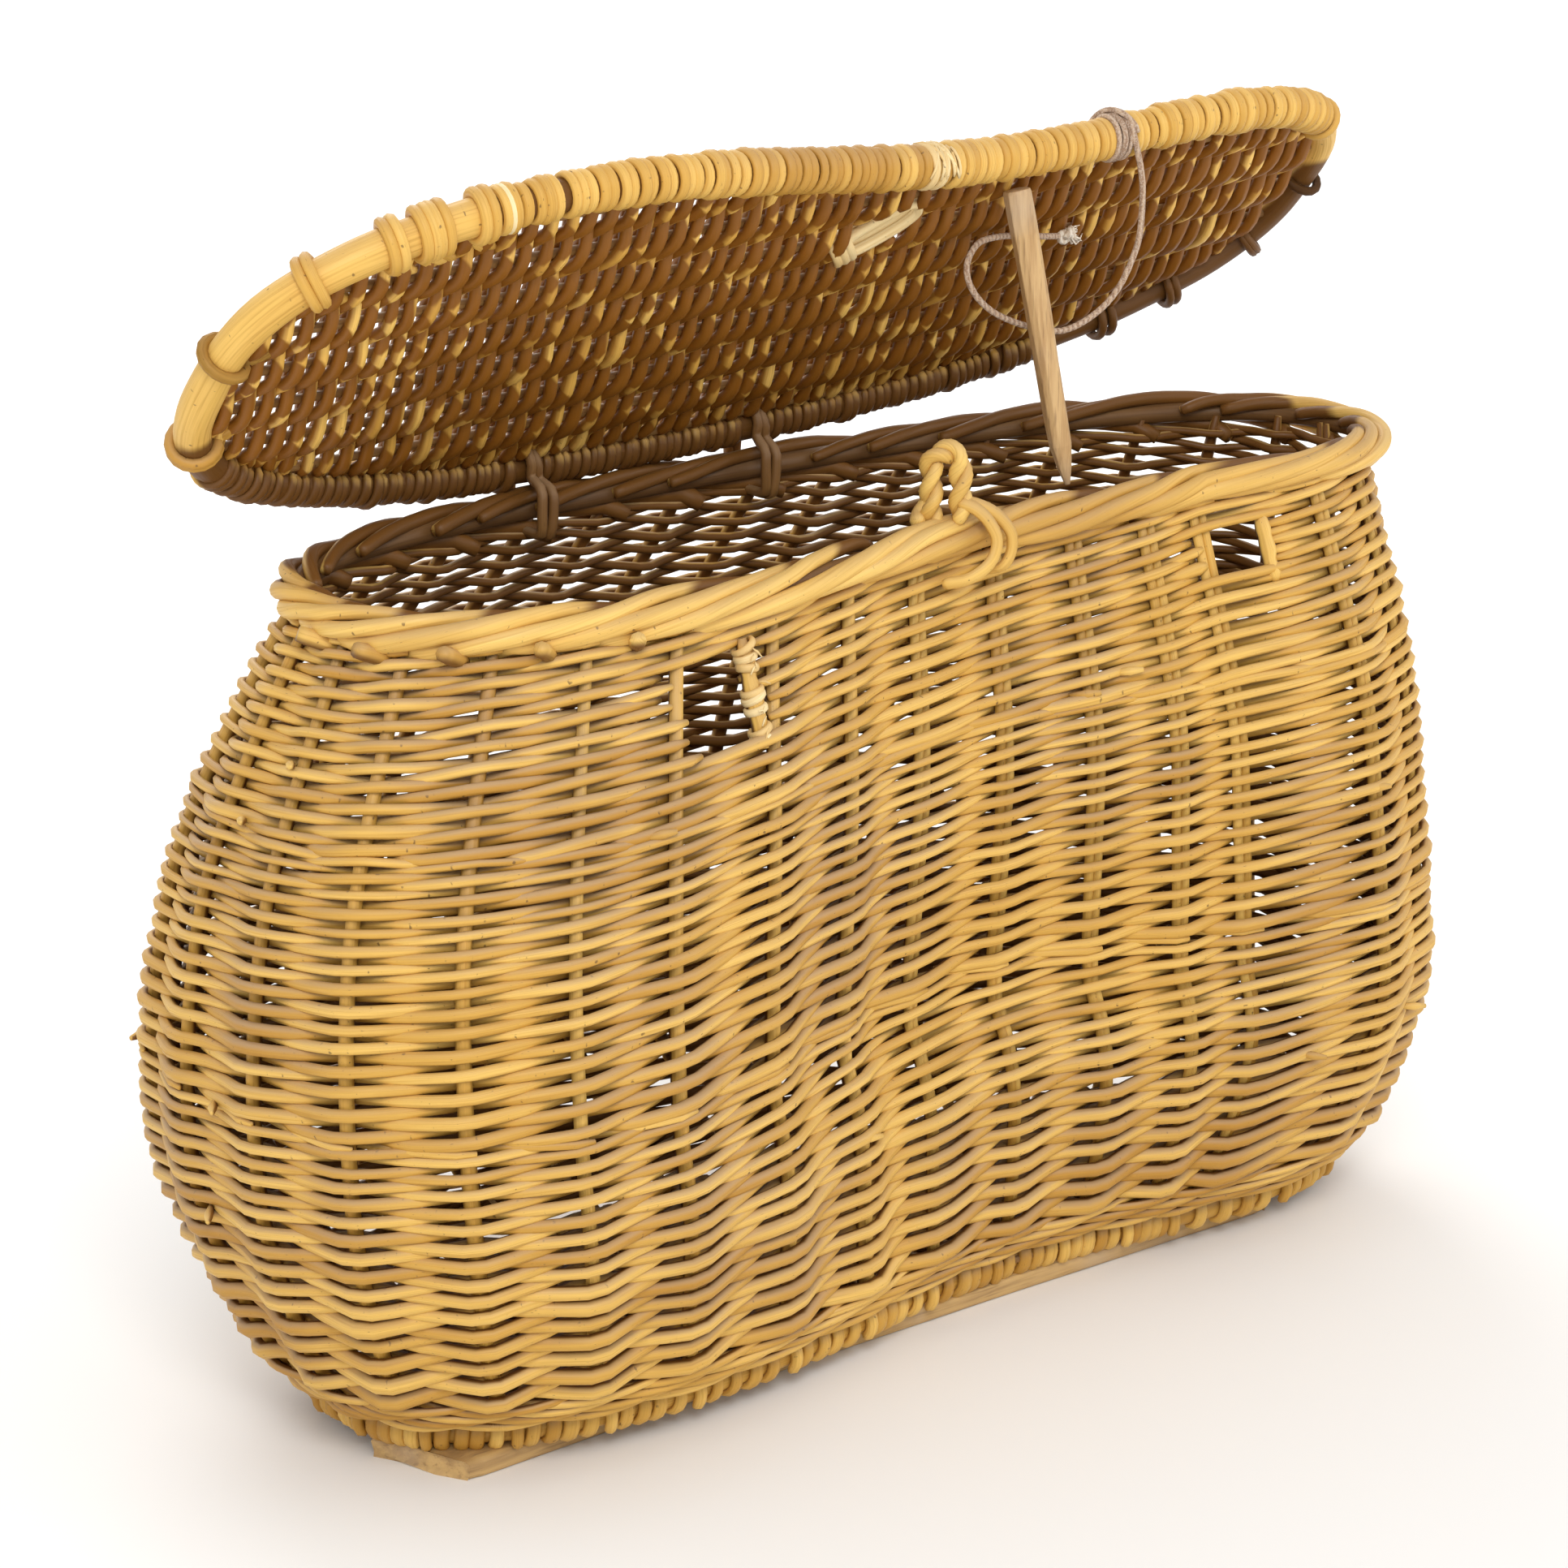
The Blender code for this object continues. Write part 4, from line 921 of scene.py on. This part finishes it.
def woven_panel(panel, ribs, edges, span, rib_ys, pitch, r, rib_r, inset, height, wrap=None, hole=None):
    """Rods from front to back, over and under lengthwise sticks."""
    front, back = edges
    for y in rib_ys:
        x = np.linspace(span[0] - 0.05, span[1] + 0.04, 400)
        inside = x[(front(x) + inset < y) & (back(x) - inset > y)]
        if len(inside) > 20:
            x = np.linspace(inside.min(), inside.max(), 60)
            line = smooth(np.stack([x, y + wander(60, 0.0007, 12), height(x)], axis=1), 0.003)
            cut = hole(line) if hole else np.zeros(len(line), bool)
            for start, end in runs(~cut):
                ribs.add(line[start:end], rib_r, UP)
    for i, x0 in enumerate(np.arange(span[0], span[1], pitch)):
        x0 = x0 + DICE.normal(0, 0.0003)
        low, high = float(front(x0)) + inset, float(back(x0)) - inset
        if wrap is not None:
            wrap(x0)
        if high - low < SHORTEST_ROD:
            continue
        y = np.linspace(low, high, max(5, round((high - low) / PANEL_STEP)))
        gap = rib_ys[1] - rib_ys[0]
        wave = np.cos(math.pi * ((y - rib_ys[0]) / gap + i))
        grip = np.clip(np.minimum(y - y[0], y[-1] - y) / 0.012, 0.15, 1)
        lift = wave * grip * (rib_r + 0.7 * r)
        line = np.stack([x0 + wander(len(y), 0.0005, 3), y, height(x0) + lift], axis=1)
        # Painted shade: where a rod dips under a stick, and along one flank, it is painted in its shade
        # colour.
        side = wave + wander(len(y), 0.45, 4)
        # Painted light: scattered flecks get a high painted_shade_facing and so the lit colour, painting
        # light that comes through the weave's gaps.
        painted_light_fleck = DICE.random(len(y)) < PAINTED_LIGHT_FLECKS
        painted_light_fleck |= np.roll(painted_light_fleck, 1) & (DICE.random(len(y)) < PAINTED_FLECK_GOES_ON)
        painted_shade_flank = np.sin(2 * math.pi * np.arange(WEAVER_SIDES) / WEAVER_SIDES)[None]
        side = 0.45 * side[:, None] + 0.9 * painted_shade_flank
        side = np.where(painted_light_fleck[:, None], 1.05 + 0.85 * painted_shade_flank, side)
        thick, tone = r * DICE.normal(1, 0.05), DICE.random()
        cut = hole(line) if hole else np.zeros(len(y), bool)
        for start, end in runs(~cut):
            panel.add(line[start:end], thick, UP, sides=WEAVER_SIDES, tone=tone, side=side[start:end])


# --- lid ---
def lid_turn():
    axis = Vector((-math.cos(LID_TURN), -math.sin(LID_TURN), 0))
    turn = Matrix.Rotation(LID_OPEN, 4, axis)
    return Matrix.Translation(HINGE_POINT) @ turn @ Matrix.Translation(-HINGE_POINT)


TURN = lid_turn()
RING, RING_OUT = lid_ring(720)
WRAP_FRONT = (-0.2150, 0.2600)   # where the lid's rods wrap over its front hoop
WRAP_BACK = (-0.290, 0.170)      # and round its back hoop
TIES = ((-0.3028, 0.0281), (-0.3093, -0.0274), (-0.2879, -0.0681), (-0.2590, -0.0855), (-0.2466, -0.0902),
        (-0.2420, -0.0915), (-0.2230, -0.0970), (0.2760, -0.0146), (0.2661, 0.0267), (0.2307, 0.0543),
        (0.1950, 0.0640))
LOOSE_SKEINS_X = (-0.2120, 0.0075, 0.0125)
SHREDS_X = 0.0085


def lid_height(x):
    return LID_Z + LID_BOW * ((x - LID_CENTRE[0]) / LID_HALF_LONG) ** 2


def hoop_near(x, front):
    """The lid hoop's point and outward direction nearest x on its front or back."""
    middle = LID_CENTRE[1] + 0.01
    half = np.where(RING[:, 1] < middle if front else RING[:, 1] > middle)[0]
    i = half[np.abs(RING[half, 0] - x).argmin()]
    return RING[i], RING_OUT[i]


def skein(centre, out, angles, reach, slant=0.0):
    """Points round the lid hoop across it, angle 0 outwards and 90 up, drifting along it by slant."""
    drift = np.cross(UP, out) * (slant * np.asarray(angles) / 360)[:, None]
    return around(centre, out, np.radians(angles), reach) + drift


def lid_wrap(wraps, x):
    """Carries a lid rod round the front hoop and round the back hoop, where the lid's are."""
    for front, (left, right) in ((True, WRAP_FRONT), (False, WRAP_BACK)):
        kept_off = [TWINE_WRAP_X] if front else [h + 0.002 for h in HINGE_X]
        if not left < x < right or min(abs(x - k) for k in kept_off) < (0.0050 if front else 0.0075):
            continue
        centre, out = hoop_near(x + DICE.normal(0, 0.0006), front)
        angles = np.linspace(-170, 165, 20)
        bumpy = DICE.normal(0, 0.0004)
        line = skein(centre, out, angles, SKEIN_R + bumpy, DICE.normal(0.0015, 0.0012))
        # Painted shade: front wraps never take the shade colour; back wraps are painted shaded on their
        # undersides.
        side = 1.6 if front else 1.2 * np.sin(np.radians(angles)) - 0.1
        tone = DICE.random()
        wraps.add(line, 0.0024 * DICE.normal(1, 0.07), unit(line - centre), flat=0.8, tone=tone, side=side)


def in_slot(points):
    across = np.array((-LOOP_DIR[1], LOOP_DIR[0], 0))
    off = points - SLOT_AT
    return (abs(off @ LOOP_DIR) < SLOT_LONG / 2 - 0.001) & (abs(off @ across) < SLOT_WIDE / 2 + 0.0004)


def make_lid():
    hoop = Rods()
    sides = 16
    ring, out = RING[::3], RING_OUT[::3]
    turn = 2 * math.pi * np.arange(sides) / sides
    # Painted shade on the hoop: its front is painted lit, its back is painted darker and shaded on its
    # underside, and where wraps hide it it takes the painted shade colour.
    front = np.clip(0.5 - (ring[:, 1] - np.where(ring[:, 0] > 0, -0.035, 0.02)) / 0.02, 0, 1)[:, None]
    wrapped = ((ring[:, 0] > WRAP_FRONT[0]) & (ring[:, 0] < WRAP_FRONT[1]) & (ring[:, 1] < 0))[:, None]
    painted_shade_facing = 1.0 * front - np.sin(turn)[None] * (1 - front) - 0.5 * (1 - front) - 2.5 * wrapped
    radius = np.where(wrapped[:, 0], WRAPPED_HOOP_R, BARE_HOOP_R - 0.0012 * (ring[:, 0] > 0.1))
    radius = radius * (1 + 0.02 * np.sin(np.arange(len(ring)) * 0.7))
    hoop.add(ring, radius, out, sides=sides, closed=True, tone=0.8, side=painted_shade_facing)
    hoop.make("lid_hoop_rod", LID_EDGE, "lid", ("lid_hoop",), "willow", TURN)
    panel, ribs, wraps = Rods(), Rods(), Rods()
    woven_panel(panel, ribs, outline_edges(RING), span=(-0.303, 0.262),
                rib_ys=np.arange(-0.088, 0.09, 0.0245), pitch=0.0047, r=0.0028, rib_r=0.0020, inset=0.0070,
                height=lid_height, wrap=lambda x: lid_wrap(wraps, x), hole=in_slot)
    panel.make("lid_weavers", LID_UNDER, "lid", ("lid_weave",), "willow_brown", TURN)
    ribs.make("lid_sticks", AGED, "lid", [f"lid_rib_{i}" for i in range(1, 5)], "willow_brown", TURN)
    wraps.make("lid_skeins", LID_EDGE, "lid", (), "willow", TURN)
    make_lid_ties()
    make_slot()


def make_lid_ties():
    """Loops of willow that tie the weave to the bare ends of the hoop, with tails into the weave."""
    ties = Rods()
    for x, y in TIES:
        for shift in (0.0, 0.0042):
            i = int(np.hypot(RING[:, 0] - x - shift, RING[:, 1] - y).argmin())
            centre, out = RING[i], RING_OUT[i]
            angles = np.linspace(195, -170, 18)
            ring = skein(centre, out, angles, BARE_HOOP_R + 0.0016, 0.004)
            along = np.cross(UP, out)
            tail = ring[-1] - out * np.array((0.006, 0.013))[:, None]
            tail = tail + along * np.array((0.003, 0.009))[:, None]
            line = smooth(np.vstack([ring, tail]), 0.003)
            # The ties on the hoop's right end are thinner and painted wholly in the shade colour, a painted
            # shade with some ageing.
            shaded_right_end = x > 0.1
            ties.add(line, 0.0021 if shaded_right_end else 0.0024, unit(line - centre + 0.0001), tone=DICE.random(),
                     side=-2.0 if shaded_right_end else 0.9)
    ties.make("lid_ties", LID_EDGE, "lid", (), "willow", TURN)
    torn = Rods()
    for x in LOOSE_SKEINS_X:                                   # pale skeins
        centre, out = hoop_near(x, True)
        line = skein(centre, out, np.linspace(-170, 165, 20), SKEIN_R + 0.0011)
        torn.add(line, 0.0022, unit(line - centre), flat=0.6)
    for k in range(9):                                         # and one torn to shreds
        centre, out = hoop_near(SHREDS_X + 0.0011 * k, True)
        low = -75 + 12 * DICE.random()
        line = skein(centre, out, np.linspace(75 - 8 * k, low, 7), SKEIN_R + 0.0021, 0.02 * DICE.normal(0, 1))
        torn.add(line, 0.0007, UP, sides=5)
    torn.make("lid_torn_skeins", TORN, "lid", (), "willow_pale", TURN)


def make_slot():
    """The slot's bound edge: rods round it, and pale turns over its left end."""
    edge = Rods()
    across = np.array((-LOOP_DIR[1], LOOP_DIR[0], 0))
    turn = np.linspace(0, 2 * math.pi, 49)[:-1]
    c, s = np.cos(turn), np.sin(turn)
    half, wide = SLOT_LONG / 2 + 0.001, SLOT_WIDE / 2 + 0.001
    for z, r in ((0.0020, 0.0021), (-0.0020, 0.0023)):
        line = (SLOT_AT + LOOP_DIR * (half * np.sign(c) * abs(c) ** 0.8)[:, None]
                + across * (wide * np.sign(s) * abs(s) ** 0.7)[:, None] + (0, 0, z))
        edge.add(line, r, unit(line - SLOT_AT + (0, 0, 0.0001)), closed=True, tone=0.7)
    for k in range(3):
        centre = SLOT_AT + LOOP_DIR * (half + 0.0025 - 0.0033 * k)
        a = np.radians(np.linspace(-20, 200, 11))
        wide_k = wide + 0.0020 - 0.0012 * (k == 0)
        line = centre + across * (wide_k * np.cos(a))[:, None] - UP * (0.0056 * np.sin(a))[:, None]
        edge.add(line, 0.0021, unit(line - centre), flat=0.7, tone=DICE.random())
    edge.make("slot_edge", TORN, "lid", ("slot_binding",), "willow_pale", TURN)


# --- closure loop, hinge loops, peg, twine ---
LOOP_HALF_WIDE = 0.0062
LOOP_STRAND_R = 0.0030
LOOP_TWIST = 0.023              # length in which its strands wind once round each other
LOOP_STAKE = 5.2                # where it stands, counted in stakes
LOOP_TAILS = (                  # from its right foot down the border's face
    ((0, 0, 0.006), (0.005, -0.004, 0.0055), (0.012, -0.0085, 0.0015), (0.0178, -0.0118, -0.0065),
     (0.0180, -0.0122, -0.0150), (0.0150, -0.0100, -0.0215), (0.0120, -0.0020, -0.0240)),
    ((-0.001, 0, 0.007), (0.003, -0.0062, 0.0045), (0.0065, -0.0112, -0.001), (0.0085, -0.0140, -0.0090),
     (0.0045, -0.0144, -0.0175), (-0.0050, -0.0120, -0.0235), (-0.0130, -0.0040, -0.0262)),
)
LOOP_STUB = ((0.001, 0.001, 0.012), (0.0, 0.003, 0.006), (-0.004, 0.0035, 0.001), (-0.009, -0.002, -0.001))
HINGE_ROD_R = 0.0024
PEG_HALF = (0.0056, 0.0052)
TWINE_TURN_R = 0.00135
TWINE_OVER_R = 0.0106           # how far from the raised hoop's middle the twine passes over it


def make_closure_loop():
    """Two strands twisted into a loop that stands on the border; their tails wrap down its face."""
    sunk = np.array((0, 0, np.interp(LOOP_STAKE, np.arange(STAKES), SAG)))
    half = LOOP_HALF_WIDE
    foot = LOOP_AT + sunk + LOOP_DIR * -0.0010
    left, right = foot + LOOP_DIR * half, foot - LOOP_DIR * half
    rise = LOOP_TALL - 0.0045 - half
    arch = [foot + UP * rise + LOOP_DIR * half * math.cos(a) + UP * half * math.sin(a)
            for a in np.linspace(0, math.pi, 9)]
    path = smooth(np.vstack([left - UP * 0.006, left + UP * rise * 0.5] + arch
                            + [right + UP * rise * 0.5, right - UP * 0.002]), 0.0016)
    along = unit(np.gradient(path, axis=0))
    normal = np.cross(LOOP_DIR, UP)
    across = np.cross(along, normal)
    loop = Rods()
    run = run_along(path)
    for phase in (0, math.pi):
        turn = 2 * math.pi * run / LOOP_TWIST + phase
        off = normal * np.cos(turn)[:, None] + across * np.sin(turn)[:, None]
        loop.add(path + off * 0.0024, LOOP_STRAND_R, off, sides=10, tone=0.5 + 0.3 * (phase > 0), side=0.6)
    for points in LOOP_TAILS:
        line = smooth(right + np.array(points), 0.002)
        thick = np.linspace(0.0033, 0.0026, len(line))
        loop.add(line, thick, (0.3, -1, 0.2), flat=0.75, tone=0.6, side=0.6)
    loop.add(smooth(left + np.array(LOOP_STUB), 0.002), 0.0033, UP, tone=0.9, side=0.6)
    loop.make("closure_loop_strands", BORDER_LOOK, "basket", ("closure_loop",), "willow")


def make_hinge_loops():
    """Bent willow loops that hold the lid's back hoop on the border."""
    for i, x in enumerate(HINGE_X):
        shut, _ = hoop_near(x, False)
        opened = np.array(TURN @ Vector(shut))
        hoop = (shut + opened) / 2
        row = wall_row(np.linspace(math.radians(20), math.radians(160), 2800), RIM_Z)      # the back's arc
        rim = row[np.abs(row[:, 0] - x).argmin()]
        r = HINGE_ROD_R
        inner = rim[1] + BORDER_OUT - BORDER_WIDE / 2 - r - 0.0008
        outer = max(rim[1] + BORDER_OUT + BORDER_WIDE / 2, hoop[1] + LID_HOOP_R) + r + 0.0012
        low, over = BORDER_TOP - BORDER_TALL - r - 0.0008, BORDER_TOP + r + 0.0004
        ring = [(outer, low + 0.004), (outer - 0.004, low), (inner + 0.004, low), (inner, low + 0.004),
                (inner, over - 0.003), (inner + 0.002, over)]
        clear = BARE_HOOP_R + r + 0.0010
        ring += [(hoop[1] + clear * math.cos(a), hoop[2] + clear * math.sin(a))
                 for a in np.radians(np.linspace(200, -20, 9))]
        loop = Rods()
        for shift, drop in ((0.0, 0.0), (0.0043, 0.0012)):
            points = np.array([(x + shift, a, b - drop) for a, b in ring + ring[:2]])
            line = smooth(points, 0.003)
            line[:, 0] += 0.0010 * np.sin(np.arange(len(line)) * 0.35 + shift * 400)
            loop.add(line, r - 0.0001, unit(line - line.mean(0)), tone=DICE.random() * 0.5, side=0.6)
        name = ("hinge_loop_left", "hinge_loop_right")[i]
        loop.make(name + "_strands", AGED, "basket", (name,), "willow_brown")


def make_peg():
    """A stick whittled to flats, square at its head and cut to a point at its foot."""
    head = np.array(TURN @ Vector(PEG_HEAD))
    run = PEG_FOOT - head
    axis = unit(run)
    side = unit(np.cross(axis, (0.35, 1.0, 0.0)))
    front = np.cross(axis, side)
    section = ((1.0, 0.42), (0.62, 0.95), (-0.45, 1.0), (-0.95, 0.55),
               (-1.0, -0.5), (-0.5, -0.95), (0.55, -1.0), (0.96, -0.45))
    parts = (0.0, 0.012, 0.10, 0.25, 0.42, 0.60, 0.76, 0.865, 0.94, 1.0)
    sizes = (0.93, 1.0, 1.0, 0.96, 0.97, 0.90, 0.86, 0.80, 0.52, 0.20)
    verts, faces, m = [], [], len(section)
    for part, size in zip(parts, sizes):
        for k, (a, b) in enumerate(section):
            cut = 1 + 0.05 * math.sin(7 * part + 2.1 * k)
            spot = head + run * part + (side * a * PEG_HALF[0] + front * b * PEG_HALF[1]) * size * cut
            verts.append(spot + SHIFT)
    for i in range(len(parts) - 1):
        faces += ring_quads(i, m)
    faces += [tuple(range(m))[::-1], tuple(range((len(parts) - 1) * m, len(parts) * m))]
    make_solid("whittled_peg", verts, faces, PEG_WOOD, "peg", "peg", 0.0005)


def make_twine():
    """The twine tied to the lid's front hoop, hanging under the lid to a frayed knot."""
    route = smooth(TWINE, 0.0035) + SHIFT
    curve = bpy.data.curves.new("twine_cord", "CURVE")
    curve.dimensions = "3D"
    curve.bevel_depth = TWINE_R
    curve.bevel_resolution = 4
    curve.use_fill_caps = True
    spline = curve.splines.new("POLY")
    spline.points.add(len(route) - 1)
    for point, co in zip(spline.points, route):
        point.co = (*co, 1.0)
    curve.materials.append(TWINE_LOOK)
    cord = tell(add_object("twine_cord", curve), "lid", ("twine",))
    turns = Rods()
    centre, out = hoop_near(TWINE_WRAP_X, True)
    along = unit(np.cross(UP, out))
    for k, shift in enumerate((-0.0028, 0.0, 0.0027)):
        a = np.linspace(0, 2 * math.pi, 33)[:-1]
        spot = centre + along * (shift + 0.0007 * np.sin(a + k))[:, None]
        ring = around(spot, out, a, BARE_HOOP_R + 0.0016)
        turns.add(ring, TWINE_TURN_R, unit(ring - centre), closed=True)
    spot = centre + along * np.linspace(0.006, -0.005, 16)[:, None]
    ring = around(spot, out, np.linspace(-0.6, 2.5, 16), 0.0115)
    turns.add(ring, TWINE_TURN_R, unit(ring - centre))
    hung = np.array(TURN @ Vector(centre))                     # its end comes over the raised hoop
    spot = hung + (0.0036, 0, 0)
    over = around(spot, np.array((0, -1.0, 0)), np.radians((150, 115, 80, 45, 12)), TWINE_OVER_R)
    lead = smooth(np.vstack([over, np.array(TWINE[0])]), 0.002)
    lead = np.array([TURN.inverted() @ Vector(point) for point in lead])
    turns.add(lead, TWINE_R, unit(lead - centre), blunt=1.0)
    turns = turns.make("twine_turns", TWINE_LOOK, "lid", ("twine_wrap",), "twine", TURN)
    knot = make_knot()


def make_knot():
    """An overhand knot with its frayed end."""
    knot = Rods()
    t = np.linspace(0, 2 * math.pi, 41)[:-1]
    coil = np.stack([np.sin(t) + 2 * np.sin(2 * t), np.cos(t) - 2 * np.cos(2 * t), -np.sin(3 * t)], axis=1)
    knot.add(KNOT_AT + coil * 0.00115, 0.0017, UP, closed=True, sides=8)
    for _ in range(26):
        way = unit(np.array((1.0, DICE.normal(0.1, 0.5), DICE.normal(0, 0.5))))
        reach = 0.0035 + 0.0030 * DICE.random()
        bend = DICE.normal(0, 0.0012, 3)
        start = KNOT_AT + way * 0.0012
        line = [start, start + way * reach * 0.5 + bend, start + way * reach]
        knot.add(line, (0.0008, 0.0006, 0.0003), UP, sides=5)
    return knot.make("frayed_knot", KNOT_LOOK, "lid", ("twine_knot",), "twine", TURN)


make_camera()
make_twine()
make_stage()
make_randing()
make_bottom_wale()
make_stakes()
make_hand_hole_trim()
make_rod_ends()
make_border()
make_base()
make_lid()
make_closure_loop()
make_hinge_loops()
make_peg()
